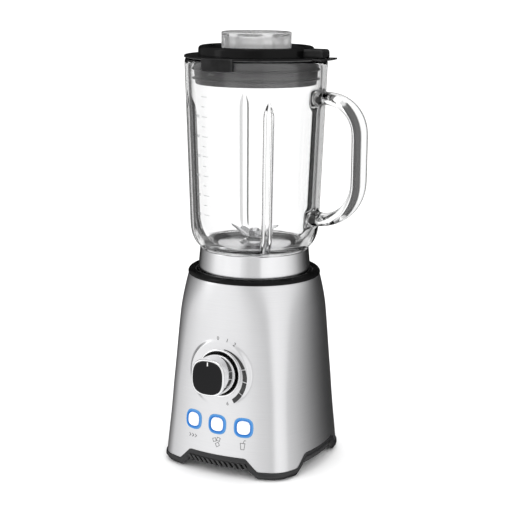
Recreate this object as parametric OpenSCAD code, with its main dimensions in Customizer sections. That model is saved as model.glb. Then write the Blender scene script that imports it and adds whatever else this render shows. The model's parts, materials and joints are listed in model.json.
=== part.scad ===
// Countertop blender: a glass jar with a cutter unit, standing on a brushed steel motor base.
// Millimetres, +Z up. The origin is on the drive axis, in the plane that the feet stand on.
// The control panel faces -Y and the jar's handle points along +X.

/* [Motor base] */
// Half width of the base at its foot
base_half = 77.5; // [76:0.5:79]
// Radius of the round top of the base
base_top_r = 63.6; // [62.5:0.1:64]
// Height of the top edge of the steel housing
base_top_z = 184; // [183:0.5:185]
// Thickness of the steel housing
steel_t = 1.2; // [1:0.1:1.5]
// Height of the steel's lower edge at the corners
steel_foot_z = 8; // [7:0.5:9]
// Height of the arches cut in the steel between the corners
arch_top_z = 20; // [18:0.5:22]

/* [Controls] */
// Height of the dial's centre
dial_z = 99; // [95:1:102]
// Lean of the dial from the vertical, in degrees
dial_tilt = 3; // [1:0.5:5]
// Length of the knob in front of its plate
knob_len = 22.5; // [20:0.5:25]
// Height of the row of buttons
button_z = 49.5; // [47:0.5:52]
// Distance between neighbouring buttons
button_pitch = 27; // [25:0.5:28]
// Travel of a button
button_travel = 1.5; // [1:0.1:1.6]

/* [Jar] */
// Height of the jar's rim
jar_rim_z = 390.5; // [388:0.5:390.5]
// Outer radius of the jar at its rim
jar_rim_r = 67.6; // [66.5:0.1:68]
// Thickness of the glass wall
glass_t = 5.4; // [4.5:0.1:5.5]
// Radius of the jar's screw neck
neck_r = 46; // [45:0.1:46]
// Distance from the axis to the outside of the handle
handle_reach = 114; // [108:1:116]

/* [Lid] */
// Outer radius of the lid's flange
lid_r = 68.2; // [67.8:0.1:69]
// Height of the top of the measuring cap
cap_top_z = 415; // [413:0.5:416]
// Outer radius of the measuring cap
cap_r = 33.2; // [33:0.1:34]

/* [Motor] */
// Radius of the rotor
rotor_r = 21.8; // [20:0.1:22]
// Width of the square stator
stator_w = 74; // [70:1:75]
// Radius of the motor shaft
shaft_r = 4; // [3.5:0.1:4]
// Radial running clearance of the shafts
running_gap = 0.05; // [0.02:0.01:0.09]

/* [Hidden] */
$fn = 96;

big = 220;
corners = [[1, 1], [-1, 1], [-1, -1], [1, -1]];

// The base's cross-section is a square with bulged sides and round corners. side_angle is half
// the turn of each side, and the rest of each quarter is turned by the corner.
side_angle = 21;
side_steps = 8;
corner_steps = 8;
turn = cos(side_angle) - sin(side_angle);
// Half depth of the section, and the radius of its corners, against height
half_at = [[0, base_half], [20, 75.7], [49, 73], [76, 71], [98, 69.5], [117, 68.4],
           [137, 67.3], [151, 66.5], [159, 65.9], [167, 65.3], [176, 64.5],
           [base_top_z, base_top_r]];
round_at = [[0, 25], [76, 24.5], [98, 27], [117, 30], [137, 34], [151, 38], [159, 42],
            [167, 48], [176, 56], [base_top_z, base_top_r - 0.5]];
body_levels = [8, 20, 49, 76, 98, 117, 137, 151, 159, 167, 176, base_top_z];

function side_r(z) = (lookup(z, half_at) - lookup(z, round_at) * turn) / (1 - turn);
function side_centre(z) = lookup(z, half_at) - side_r(z);
function corner_centre(z) = (side_r(z) - lookup(z, round_at)) * sin(side_angle);

// Section of the base at height z, grown by off
function section(z, off) = [
    for (quarter = [0:3]) each concat(
        [for (i = [0:side_steps - 1])
            let (a = 90 * quarter - side_angle + 2 * side_angle * i / side_steps,
                 c = 90 * quarter, r = side_r(z) + off)
            [side_centre(z) * cos(c) + r * cos(a), side_centre(z) * sin(c) + r * sin(a)]],
        [for (i = [0:corner_steps - 1])
            let (a = 90 * quarter + side_angle + (90 - 2 * side_angle) * i / corner_steps,
                 c = 90 * quarter + 45, r = lookup(z, round_at) + off,
                 d = corner_centre(z) * sqrt(2))
            [d * cos(c) + r * cos(a), d * sin(c) + r * sin(a)]])];

// Solid through the sections at levels [[height, off], ...]
module loft(levels) {
    n = 4 * (side_steps + corner_steps);
    top = (len(levels) - 1) * n;
    points = [for (l = levels) for (p = section(l[0], l[1])) [p[0], p[1], l[0]]];
    walls = [for (k = [0:len(levels) - 2]) for (i = [0:n - 1])
        let (a = k * n + i, b = k * n + (i + 1) % n) each [[a, a + n, b + n], [a, b + n, b]]];
    polyhedron(points, concat(
        [[for (i = [0:n - 1]) i]], [[for (i = [n - 1:-1:0]) top + i]], walls));
}

// Outline of an arch: foot_x to each side at foot_z, arch_x to each side at top_z
function arch(foot_x, foot_z, arch_x, top_z, low_z = -5) = [
    [-foot_x, low_z], [-foot_x, foot_z], [-arch_x, top_z],
    [arch_x, top_z], [foot_x, foot_z], [foot_x, low_z]];
// Prism with an arch's outline, from y0 to y1, turned about the axis by turn degrees
module arch_prism(outline, y0 = -big / 2, y1 = big / 2, turn = 0)
    rotate([0, 0, turn]) translate([0, y1, 0]) rotate([90, 0, 0]) linear_extrude(y1 - y0)
        polygon(outline);
module arches(outline) for (turn = [0, 90]) arch_prism(outline, turn = turn);

arch_foot_x = 42;
arch_x = 30.5;

// Places children on the front of the base at x and z, with +Z outwards and +Y up the surface
front_lean = atan((lookup(20, half_at) - lookup(76, half_at)) / 56);
function front_turn(x, z) = asin(x / side_r(z));
function front_y(x, z) = -(side_centre(z) + sqrt(pow(side_r(z), 2) - x * x));
module on_front(x, z) {
    translate([x, front_y(x, z), z]) rotate([0, 0, front_turn(x, z)])
        rotate([90 - front_lean, 0, 0]) children();
}
// Places children on the dial's own flat face, with +Z along the knob's axis
dial_proud = 0.3;
module on_dial() {
    translate([0, front_y(0, dial_z) - dial_proud, dial_z]) rotate([90 - dial_tilt, 0, 0])
        children();
}

// Rounded square that lies between a circle and a square; power 2 is a circle
function squircle(half, power, n = 48) = [
    for (i = [0:n - 1]) let (a = 360 * i / n, c = cos(a), s = sin(a),
        r = half / pow(pow(abs(c), power) + pow(abs(s), power), 1 / power)) [r * c, r * s]];
button_power = 3.4;
knob_power = 3;

module ring(r_in, r_out, z0, z1) {
    translate([0, 0, z0]) difference() {
        cylinder(r = r_out, h = z1 - z0);
        translate([0, 0, -1]) cylinder(r = r_in, h = z1 - z0 + 2);
    }
}

// ---------------------------------------------------------------- housing of the base

dial_hole_r = 20.6;
dial_pad_r = 31.8;
button_half = 9.4;

module base_shell() color([0.78, 0.78, 0.79]) difference() {
    union() {
        loft([for (z = body_levels) [z, 0]]);
        on_dial() translate([0, 0, -8]) cylinder(r1 = dial_pad_r + 4, r2 = dial_pad_r, h = 8);
    }
    loft([for (z = concat([4], body_levels, [base_top_z + 4])) [z, -steel_t]]);
    arches(arch(arch_foot_x, steel_foot_z, arch_x, arch_top_z));
    on_dial() translate([0, 0, -12]) cylinder(r = dial_hole_r, h = 30);
    for (i = [-1:1]) on_front(i * button_pitch, button_z)
        translate([0, 0, -6]) linear_extrude(12) polygon(squircle(button_half + 0.15, button_power));
    translate([0, 60, gland_z]) rotate([-90, 0, 0]) cylinder(r = gland_r, h = 30);
}

skirt_in = -4;
skirt_top_z = 26;
foot_floor_z = 8.9;
band_z = 14.5;
foot_xy = 51;
foot_r = 9;
leg_xy = 41;
screw_r = 1.6;
grille_slots = 11;
grille_pitch = 5.4;

module base_skirt() color([0.06, 0.06, 0.065]) difference() {
    union() {
        difference() {
            loft([[0.8, -2.4], [4, 1], [21, 1]]);
            difference() {
                loft([[steel_foot_z, 3], [skirt_top_z, 3]]);
                arches(arch(arch_foot_x, steel_foot_z, arch_x, arch_top_z));
            }
        }
        loft([[2, -3], [6, -steel_t - 0.15], [skirt_top_z, -steel_t - 0.15]]);
    }
    loft([[foot_floor_z, skirt_in], [skirt_top_z + 1, skirt_in]]);
    arches(arch(arch_foot_x - 0.5, 0, 32.8, foot_floor_z + 0.1));
    // The band along the sides and the back is narrower than the front's, which has the grille
    for (turn = [0, 90, -90])
        arch_prism(arch(34, foot_floor_z, arch_x - 2.5, band_z), y0 = 30, turn = turn);
    for (i = [0:grille_slots - 1])
        translate([(i - (grille_slots - 1) / 2) * grille_pitch, -75, 9.6]) rotate([0, -28, 0])
            translate([-1.1, -10, 0]) cube([2.2, 20, 5]);
    for (c = corners) {
        translate([c[0] * foot_xy, c[1] * foot_xy, 0]) cylinder(r = foot_r, h = 4.8);
        translate([c[0] * leg_xy, c[1] * leg_xy, 0]) cylinder(r = 3.8, h = 6.4);
        translate([c[0] * leg_xy, c[1] * leg_xy, 5]) cylinder(r = screw_r + 0.2, h = 5);
    }
}

cover_t = 2.5;
module bottom_cover() color([0.07, 0.07, 0.075]) difference() {
    loft([[foot_floor_z, skirt_in - 0.3], [15, skirt_in - 0.3]]);
    loft([[foot_floor_z + cover_t, skirt_in - 2.3], [16, skirt_in - 2.3]]);
    for (c = corners) translate([c[0] * leg_xy, c[1] * leg_xy, 0])
        cylinder(r = screw_r + 0.2, h = 20);
    for (row = [-4:4]) for (side = [-1, 1])
        translate([side * 15 - 11, row * 6 - 1.5, 5]) cube([22, 3, 10]);
}

module rubber_feet() color([0.13, 0.13, 0.13])
    for (c = corners) translate([c[0] * foot_xy, c[1] * foot_xy, 0]) {
        cylinder(r1 = foot_r - 0.8, r2 = foot_r - 0.1, h = 0.8);
        translate([0, 0, 0.8]) cylinder(r = foot_r - 0.1, h = 4);
    }

module cover_screws() color([0.6, 0.6, 0.62])
    for (c = corners) translate([c[0] * leg_xy, c[1] * leg_xy, 0]) {
        difference() {
            translate([0, 0, 4]) cylinder(r = 3.2, h = 2.4);
            for (a = [0, 90]) rotate([0, 0, a]) translate([-2, -0.4, 3]) cube([4, 0.8, 2.2]);
        }
        translate([0, 0, 6.4]) cylinder(r = screw_r, h = 14);
    }

module top_ring() color([0.05, 0.05, 0.055]) rotate_extrude()
    polygon([[57.7, 176], [60, 176], [base_top_r - 1.6, 182], [base_top_r - 1.6, 184.1],
             [base_top_r + 0.4, 184.1], [base_top_r + 0.6, 186], [base_top_r - 0.6, 187.8],
             [60.5, 189.2], [58.6, 189.4], [57.7, 188.8]]);

// ---------------------------------------------------------------- jar socket and its legs

socket_z = 173;
socket_floor_z = 176;
socket_r = 56;
leg_r = 4.5;
interlock_y = 47;

module jar_socket() color([0.1, 0.1, 0.105]) {
    difference() {
        rotate_extrude() polygon([
            [20.5, socket_z], [57.5, socket_z], [57.5, 187], [socket_r, 187],
            [socket_r, socket_floor_z], [24, socket_floor_z], [23, 178.6], [20.5, 178.6]]);
        translate([0, interlock_y, socket_z - 1]) cylinder(r = 2.4, h = 6);
    }
    for (c = corners) translate([c[0] * leg_xy, c[1] * leg_xy, 0]) difference() {
        translate([0, 0, foot_floor_z + cover_t])
            cylinder(r = leg_r, h = socket_z - foot_floor_z - cover_t + 1);
        translate([0, 0, foot_floor_z]) cylinder(r = screw_r, h = 14);
    }
}

// ---------------------------------------------------------------- dial and buttons

module dial_bezel() color([0.85, 0.85, 0.86]) on_dial() rotate_extrude()
    polygon([[20, -5], [dial_hole_r - 0.1, -5], [dial_hole_r - 0.1, 0], [22.9, 0],
             [22.9, 0.3], [22.3, 0.9], [20.6, 0.9], [20, 0.4]]);

module dial_well() color([0.03, 0.03, 0.03]) on_dial() ring(5, 19.9, -5, -3.4);

// Segments of the scale, from the top clockwise: [start, end] in degrees
scale_parts = [[11, 74], [76, 99], [101, 124], [126, 147]];
function scale_in(a) = 25.6 - 2 * cos(a);
function scale_width(a) = 0.5 + 3.9 * min(1, (a - 11) / 80);
module dial_scale() color([0.05, 0.05, 0.05]) on_dial() translate([0, 0, 0.02])
    for (part = scale_parts) linear_extrude(0.35) polygon(concat(
        [for (a = [part[0]:1:part[1]]) scale_in(a) * [sin(a), cos(a)]],
        [for (a = [part[1]:-1:part[0]]) (scale_in(a) + scale_width(a)) * [sin(a), cos(a)]]));

cap_half = 6.5;
module light_rings() color([0.2, 0.55, 0.9])
    for (i = [-1:1]) on_front(i * button_pitch, button_z) difference() {
        translate([0, 0, -5.5]) linear_extrude(6) polygon(squircle(button_half, button_power));
        translate([0, 0, -6]) linear_extrude(8) polygon(squircle(cap_half + 0.35, button_power));
    }

// Depth of each button behind the front: the outer two sit closer to the flat board
button_deep = [3.2, 5, 3.2];
button_proud = 0.2;
button_crown = 0.6;
module button(i) color([0.95, 0.95, 0.94]) on_front(i * button_pitch, button_z) {
    translate([0, 0, -button_deep[i + 1]]) linear_extrude(button_deep[i + 1] + button_proud)
        polygon(squircle(cap_half, button_power));
    translate([0, 0, button_proud]) linear_extrude(button_crown)
        polygon(squircle(cap_half - 0.6, button_power));
}
module button_left() button(-1);
module button_middle() button(0);
module button_right() button(1);

board_gap = 10.6;
module button_board() color([0.1, 0.35, 0.18]) on_front(0, button_z)
    translate([-37, -9, -board_gap - 1.6]) cube([74, 18, 1.6]);
module button_switches() color([0.15, 0.15, 0.15]) on_front(0, button_z)
    for (i = [-1:1]) translate([i * (button_pitch - 2), 0, -board_gap]) {
        translate([-3, -3, 0]) cube([6, 6, 2.4]);
        translate([0, 0, 2.4]) cylinder(r = 1.6, h = 0.5);
    }

knob_shaft_r = 3;
switch_w = 26;
switch_deep = 17;
module speed_switch() color([0.2, 0.2, 0.22]) on_dial() difference() {
    union() {
        translate([-switch_w / 2, -switch_w / 2, -switch_deep]) cube([switch_w, switch_w, 11]);
        translate([0, 0, -6]) cylinder(r = 4.9, h = 2.8);
    }
    translate([0, 0, -switch_deep - 1]) cylinder(r = knob_shaft_r + 0.06, h = 20);
}
module knob_shaft() color([0.7, 0.7, 0.72]) on_dial()
    translate([0, 0, -16]) cylinder(r = knob_shaft_r, h = 28);

knob_base_r = 19.2;
knob_face = 17.2;
knob_insert = 15.8;
// Knob sections: height above the plate, half width and how square it is
knob_levels = [[-1.5, knob_base_r, 2], [1, knob_base_r, 2], [knob_len * 0.45, 18.4, 2.35],
               [knob_len - 2, knob_face + 0.2, knob_power], [knob_len, knob_face - 0.4, knob_power]];
module knob_shell() color([0.82, 0.82, 0.84]) on_dial() difference() {
    loft_squircles(knob_levels);
    translate([0, 0, -2]) cylinder(r = knob_shaft_r, h = 14);
    translate([0, 0, knob_len - 1]) linear_extrude(3) polygon(squircle(knob_insert + 0.1, knob_power));
}
module knob_cap() color([0.03, 0.03, 0.03]) on_dial() translate([0, 0, knob_len - 1])
    linear_extrude(1.2) polygon(squircle(knob_insert, knob_power));
module knob_pointer() color("white") on_dial()
    translate([-0.5, 12, knob_len + 0.2]) cube([1, 3.4, 0.2]);

module loft_squircles(levels) {
    n = 48;
    top = (len(levels) - 1) * n;
    points = [for (l = levels) for (p = squircle(l[1], l[2])) [p[0], p[1], l[0]]];
    walls = [for (k = [0:len(levels) - 2]) for (i = [0:n - 1])
        let (a = k * n + i, b = k * n + (i + 1) % n) each [[a, a + n, b + n], [a, b + n, b]]];
    polyhedron(points, concat([[for (i = [0:n - 1]) i]], [[for (i = [n - 1:-1:0]) top + i]], walls));
}

// ---------------------------------------------------------------- boards, switch and cord inlet

// Cord inlet in the back: a flange inside the steel, a neck through it and a collar outside
gland_z = 38;
gland_r = 8;
gland_flange_y = 65.4;
gland_neck_y = 71.6;
gland_collar_y = 75.2;
gland_end_y = 77.4;
module cord_gland() color([0.08, 0.08, 0.08]) translate([0, 0, gland_z]) rotate([-90, 0, 0])
    difference() {
        union() {
            translate([0, 0, gland_flange_y]) cylinder(r = 10, h = gland_neck_y - gland_flange_y);
            translate([0, 0, gland_neck_y])
                cylinder(r = gland_r - 0.1, h = gland_collar_y - gland_neck_y);
            translate([0, 0, gland_collar_y])
                cylinder(r1 = 9.6, r2 = 8.4, h = gland_end_y - gland_collar_y);
        }
        translate([0, 0, 60]) cylinder(r = 3.6, h = 20);
    }

module control_board() color([0.1, 0.35, 0.18])
    translate([-30, 50, foot_floor_z + cover_t]) cube([60, 1.6, 60]);
module board_parts() color([0.25, 0.25, 0.3]) {
    translate([-22, 51.6, 20]) cube([16, 9, 12]);
    translate([-20, 51.6, 40]) cube([8, 6, 22]);
    for (x = [2, 16]) translate([x, 51.6, 50]) rotate([-90, 0, 0]) cylinder(r = 5, h = 9);
    translate([0, 51.6, 58]) cube([22, 5, 8]);
}

module interlock_switch() color([0.12, 0.12, 0.13])
    translate([-10, interlock_y - 3.2, 156]) cube([20, 6.4, 10]);
module interlock_spring() color([0.7, 0.7, 0.72]) translate([0, interlock_y, 0])
    ring(2.2, 2.9, 166, 171.2);
module interlock_pin() color([0.85, 0.85, 0.8]) translate([0, interlock_y, 0]) {
    translate([0, 0, 167.3]) cylinder(r = 2, h = 8.6);
    translate([0, 0, 171.3]) cylinder(r = 3.6, h = 1.4);
}

// ---------------------------------------------------------------- motor

core_z0 = 92;
core_z1 = 128;
upper_z = 142;
lower_z = 58;
plate_t = 4;
bolt_xy = 31;
bearing_r = 11;
air_gap = 0.6;

module stator_core() color([0.45, 0.46, 0.48]) translate([0, 0, core_z0])
    linear_extrude(core_z1 - core_z0) difference() {
        union() {
            square([stator_w, stator_w - 12], center = true);
            square([stator_w - 12, stator_w], center = true);
            for (c = corners) translate([c[0] * (stator_w / 2 - 6), c[1] * (stator_w / 2 - 6)])
                circle(r = 6);
        }
        circle(r = rotor_r + air_gap);
        for (s = [-1, 1]) translate([s * 27.4, 0]) square([5.8, 38], center = true);
        for (c = corners) translate([c[0] * bolt_xy, c[1] * bolt_xy]) circle(r = 2.2);
    }

coil_in = 24.9;
coil_out = 29.8;
module field_coils() color([0.72, 0.35, 0.16]) for (s = [0, 180]) rotate([0, 0, s]) {
    for (side = [-1, 1]) translate([side * 27.4 - 2.4, 1.5, core_z0 - 6])
        cube([4.8, 16.5, core_z1 - core_z0 + 12]);
    for (z = [core_z0 - 7, core_z1 + 0.5]) translate([0, 0, z])
        rotate_extrude(angle = 168, start = 6) translate([coil_in, 0]) square([coil_out - coil_in, 6.5]);
}

module cross_plate(z) translate([0, 0, z]) linear_extrude(plate_t) difference() {
    union() {
        circle(r = 26);
        for (a = [45, 135]) rotate(a) square([4 * 29, 15], center = true);
        for (c = corners) translate([c[0] * leg_xy, c[1] * leg_xy]) circle(r = 11);
    }
    circle(r = 5.5);
    for (c = corners) {
        translate([c[0] * leg_xy, c[1] * leg_xy]) circle(r = mount_r);
        translate([c[0] * bolt_xy, c[1] * bolt_xy]) circle(r = 2.2);
    }
}
mount_r = 7.6;

module pillars(z0, z1) for (c = corners) translate([c[0] * bolt_xy, c[1] * bolt_xy, 0])
    ring(2.2, 4, z0, z1);

module upper_bracket() color([0.62, 0.63, 0.65]) {
    cross_plate(upper_z);
    ring(bearing_r, 14.5, upper_z + plate_t, upper_z + plate_t + 7);
    pillars(core_z1, upper_z);
}
module lower_bracket() color([0.62, 0.63, 0.65]) {
    cross_plate(lower_z);
    ring(bearing_r, 14.5, lower_z - 7, lower_z);
    pillars(lower_z + plate_t, core_z0);
}
module bearing(z) color([0.75, 0.75, 0.77]) difference() {
    ring(shaft_r + running_gap, bearing_r, z, z + 7);
    for (end = [z - 0.01, z + 6.41]) ring(6.2, 9.2, end, end + 0.6);
}
module upper_bearing() bearing(upper_z + plate_t);
module lower_bearing() bearing(lower_z - 7);

module rubber_mounts() color([0.1, 0.1, 0.1])
    for (z = [upper_z, lower_z]) for (c = corners) translate([c[0] * leg_xy, c[1] * leg_xy, 0]) {
        ring(leg_r, mount_r, z, z + plate_t);
        ring(leg_r, mount_r + 1.6, z + plate_t, z + plate_t + 2);
        ring(leg_r, mount_r + 1.6, z - 2, z);
    }

module motor_screws() color([0.55, 0.55, 0.57])
    for (c = corners) translate([c[0] * bolt_xy, c[1] * bolt_xy, 0]) {
        translate([0, 0, lower_z - 4]) cylinder(r = 2, h = upper_z + plate_t - lower_z + 4);
        translate([0, 0, upper_z + plate_t]) cylinder(r = 3.6, h = 2.8);
        translate([0, 0, lower_z - 3]) cylinder(r = 3.6, h = 3, $fn = 6);
    }

brush_z = 73;
commutator_r = 11;
module brush_holders() color([0.75, 0.6, 0.3]) for (s = [-1, 1]) difference() {
    union() {
        translate([s * 23.5 - 9.5, -5.5, brush_z - 6]) cube([19, 11, 12]);
        translate([s * 23.5 - 3, -5.5, lower_z + plate_t]) cube([6, 11, 6]);
    }
    translate([s * 23 - 12, -3.2, brush_z - 4.2]) cube([24, 6.4, 8.4]);
}
module carbon_brushes() color([0.12, 0.12, 0.12]) for (s = [-1, 1])
    translate([s * (commutator_r + 0.3 + 8) - 8, -3.1, brush_z - 4.1]) cube([16, 6.2, 8.2]);

module motor_shaft() color([0.7, 0.7, 0.72])
    translate([0, 0, 32]) cylinder(r = shaft_r, h = 141);
module rotor_core() color([0.5, 0.5, 0.52]) difference() {
    ring(shaft_r, rotor_r, core_z0, core_z1);
    for (i = [0:11]) rotate([0, 0, 30 * i]) translate([rotor_r - 3, -0.8, core_z0 - 1])
        cube([5, 1.6, core_z1 - core_z0 + 2]);
}
module rotor_windings() color([0.78, 0.4, 0.18]) rotate_extrude() {
    polygon([[7, core_z0 - 8], [16, core_z0 - 8], [19.5, core_z0 - 5], [19.5, core_z0],
             [7, core_z0]]);
    polygon([[7, core_z1], [19.5, core_z1], [19.5, core_z1 + 5], [16, core_z1 + 8],
             [7, core_z1 + 8]]);
}
module commutator() color([0.75, 0.42, 0.2]) difference() {
    ring(shaft_r, commutator_r, 66, 81);
    for (i = [0:23]) rotate([0, 0, 15 * i]) translate([commutator_r - 0.8, -0.3, 65])
        cube([2, 0.6, 17]);
}

module cooling_fan() color([0.85, 0.82, 0.72]) {
    ring(shaft_r, 9, 33, 48);
    ring(9, 37, 46, 48);
    for (i = [0:10]) rotate([0, 0, 360 / 11 * i]) translate([0, -1, 34]) rotate([0, 0, 12])
        translate([11, 0, 0]) cube([24, 1.6, 12.2]);
}

// Both halves of the drive coupling have three teeth that fill each other's gaps. The teeth start
// half a millimetre inside their disc.
coupling_r = 16;
tooth_angle = 52;
tooth_in = 8;
tooth_out = coupling_r - 0.4;
drive_disc_z = [168, 173];
driven_disc_z = [180, 184.3];
module teeth(z0, z1, start) for (i = [0:2])
    translate([0, 0, z0]) rotate([0, 0, start + 120 * i])
        rotate_extrude(angle = tooth_angle) translate([tooth_in, 0])
            square([tooth_out - tooth_in, z1 - z0]);
module drive_coupling() color([0.1, 0.1, 0.1]) {
    ring(shaft_r, coupling_r, drive_disc_z[0], drive_disc_z[1]);
    teeth(drive_disc_z[1] - 0.5, 179, 0);
}
module driven_coupling() color([0.12, 0.12, 0.12]) {
    ring(shaft_r, coupling_r, driven_disc_z[0], driven_disc_z[1]);
    ring(shaft_r, 7, 176.5, driven_disc_z[0] + 0.5);
    teeth(174.2, driven_disc_z[0] + 0.5, 60);
}

// ---------------------------------------------------------------- cutter unit

collar_foot_r = 55.5;
collar_top_r = 52.5;
collar_foot_z = 176;
collar_top_z = 209.4;
neck_gap = 0.4;
collar_slope = (collar_foot_r - collar_top_r) / (collar_top_z - collar_foot_z);

module collar_band() color([0.8, 0.8, 0.81]) rotate_extrude() polygon([
    [collar_foot_r - 1.2, collar_foot_z + 1], [collar_foot_r, collar_foot_z + 1],
    [collar_top_r + 0.1, collar_top_z - 0.6], [collar_top_r - 0.6, collar_top_z],
    [neck_r + 2.5, collar_top_z], [neck_r + 2.5, collar_top_z - 1],
    [collar_top_r - 1.2, collar_top_z - 1]]);

module jar_collar() color([0.12, 0.12, 0.125]) difference() {
    rotate_extrude() polygon([
        [50.5, collar_foot_z], [collar_foot_r - 1.4, collar_foot_z],
        [collar_top_r - 1.3, collar_top_z - 1.1], [neck_r + neck_gap, collar_top_z - 1.1],
        [neck_r + neck_gap, 187], [39, 187], [39, 184.6], [50.5, 184.6]]);
    for (i = [0:5]) rotate([0, 0, 60 * i]) translate([51.8, 0, collar_foot_z - 1])
        cylinder(r = 1.6, h = 5, $fn = 24);
}

module blade_housing() color([0.8, 0.8, 0.82]) rotate_extrude() polygon([
    [7, 185], [11, 185], [11, 204.5], [36.4, 204.5], [36.4, 187], [45.8, 187], [45.8, 189],
    [38.6, 189], [38.6, 206], [37.4, 207.2], [15, 207.2], [11.5, 210], [10.6, 213], [7, 213]]);

module jar_gasket() color([0.75, 0.76, 0.78]) ring(40.2, 45.8, 189, 191);
module blade_bushes() color([0.72, 0.55, 0.25])
    for (z = [185.5, 204.5]) ring(shaft_r + running_gap, 7, z, z + 7);
module shaft_seal() color([0.2, 0.2, 0.2]) ring(shaft_r + running_gap, 8, 213, 214.6);

module blade_shaft() color([0.75, 0.75, 0.77]) {
    translate([0, 0, 177]) cylinder(r = shaft_r, h = 49);
    ring(shaft_r, 6.5, 214.9, 216.5);
}
// Two-winged blade: a flat root with a hole for the shaft, and sharpened tips [reach, lift]
module blade(root, width, tips) difference() {
    union() {
        cylinder(r = width * 0.72, h = blade_t);
        translate([-root, -width / 2, 0]) cube([2 * root, width, blade_t]);
        for (i = [0, 1]) rotate([0, 0, 180 * i]) translate([root - 0.5, 0, 0.1])
            rotate([0, -tips[i][1], 0]) linear_extrude(blade_t - 0.2) polygon([
                [0, -width / 2 + 0.1], [tips[i][0] * 0.45, -width / 2 + 0.1],
                [tips[i][0], -width * 0.1], [tips[i][0] * 0.8, width * 0.3],
                [0, width / 2 - 0.1]]);
    }
    translate([0, 0, -5]) cylinder(r = shaft_r, h = 20);
}
blade_t = 1.5;
lower_blade_z = 216.5;
upper_blade_z = lower_blade_z + blade_t + 0.1;
module upper_blades() color([0.8, 0.8, 0.82]) translate([0, 0, upper_blade_z])
    rotate([0, 0, 62]) blade(9, 12, [[20.5, 24], [23, 42]]);
module lower_blades() color([0.78, 0.78, 0.8]) translate([0, 0, lower_blade_z])
    rotate([0, 0, -28]) blade(10, 11, [[15, 12], [15, 30]]);
module blade_nut() color([0.7, 0.7, 0.72]) difference() {
    union() {
        translate([0, 0, 219.7]) cylinder(r = 6.6, h = 3.6, $fn = 6);
        translate([0, 0, 223.3]) cylinder(r1 = 5.2, r2 = 4.6, h = 2);
    }
    translate([0, 0, 219]) cylinder(r = shaft_r, h = 8);
}

// ---------------------------------------------------------------- glass jar

neck_foot_z = 191;
// Outside of the glass, from the neck up: radius and height
glass_outside = [[neck_r, neck_foot_z], [neck_r, 208.6], [47.2, 209.9], [52.4, 210.4],
                 [55.8, 213.4], [58.2, 217.2], [60.4, 222.5], [61.6, 228], [62.3, 244], [63.7, 285],
                 [65.9, 343], [67, 371], [jar_rim_r, jar_rim_z - 3]];
glass_inside = [[jar_rim_r - glass_t, jar_rim_z - 2], [67 - glass_t, 371],
                [65.9 - glass_t, 343], [63.7 - glass_t, 285], [62.3 - glass_t, 244],
                [61.6 - glass_t, 232], [55, 225], [52.2, 219.5], [47.5, 214.6], [42.5, 212.2],
                [40, 211], [40, neck_foot_z]];
rib_angles = [45, 135, 225, 315];
rib_r = 4.4;
rib_z0 = 222;
rib_z1 = 345;

handle_in = 6;
handle_half_w = 13;
handle_top_z = 356;
handle_low_z = 242;
top_bend = 32;
low_bend = 38;
handle_x = handle_reach - handle_in;

module handle_section() polygon(
    [for (a = [0:15:345]) [handle_in * cos(a), handle_half_w * sin(a)]]);

// The handle lies in the XZ plane: two bends, the grip between them and two roots in the wall
module handle() {
    top_x = handle_x - top_bend;
    low_x = handle_x - low_bend;
    translate([top_x, 0, handle_top_z - top_bend]) rotate([90, 0, 0])
        rotate_extrude(angle = 90) translate([top_bend, 0]) handle_section();
    translate([low_x, 0, handle_low_z + low_bend]) rotate([90, 0, 0])
        rotate_extrude(angle = 90, start = 270) translate([low_bend, 0]) handle_section();
    translate([handle_x, 0, handle_low_z + low_bend])
        linear_extrude(handle_top_z - top_bend - handle_low_z - low_bend) handle_section();
    translate([62.5, 0, handle_top_z]) rotate([0, 90, 0])
        linear_extrude(top_x - 62.5) handle_section();
    translate([59.5, 0, handle_low_z]) rotate([0, 90, 0])
        linear_extrude(low_x - 59.5) handle_section();
}

module glass_jar() color([0.85, 0.9, 0.92, 0.35]) {
    rotate_extrude() polygon(concat(glass_outside,
        [[jar_rim_r - 0.9, jar_rim_z - 0.8], [jar_rim_r - 2.7, jar_rim_z],
         [jar_rim_r - glass_t + 1, jar_rim_z - 0.5]], glass_inside));
    for (a = rib_angles) rotate([0, 0, a]) translate([57.3, 0, rib_z0]) rotate([0, 1.9, 0]) {
        cylinder(r = rib_r, h = rib_z1 - rib_z0, $fn = 32);
        translate([0, 0, rib_z1 - rib_z0]) cylinder(r1 = rib_r, r2 = 1, h = 9, $fn = 32);
    }
    handle();
}

// ---------------------------------------------------------------- lid and measuring cap

lid_z = jar_rim_z + 0.3;
lug_turn = 86;
module lid_cover() color([0.04, 0.04, 0.045]) difference() {
    union() {
        rotate_extrude() polygon([
            [32.6, 377], [35, 377], [35, lid_z], [50, lid_z], [50, 372], [53.4, 372],
            [53.4, lid_z], [lid_r - 0.3, lid_z], [lid_r, lid_z + 0.8], [lid_r - 0.5, lid_z + 2.2],
            [54.7, lid_z + 2.9], [54.7, 399.6], [53.9, 401.2], [52, 401.9], [48.6, 401.7],
            [46.6, 400], [46, 397.4], [32.6, 397]]);
        // Grip block and tab on the handle's side
        translate([50, -15, lid_z]) cube([24, 30, 10]);
        translate([60, -17, lid_z]) cube([19, 34, 2]);
        // Lugs that hang over the rim
        for (a = [lug_turn, lug_turn + 180]) rotate([0, 0, a])
            rotate_extrude(angle = 30, start = -15)
                polygon([[jar_rim_r + 0.4, lid_z - 13], [jar_rim_r + 3, lid_z - 13],
                         [jar_rim_r + 3, lid_z + 2], [jar_rim_r - 2, lid_z + 2],
                         [jar_rim_r - 2, lid_z], [jar_rim_r + 0.4, lid_z]]);
    }
    cylinder(r = 32.6, h = 500);
}

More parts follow.
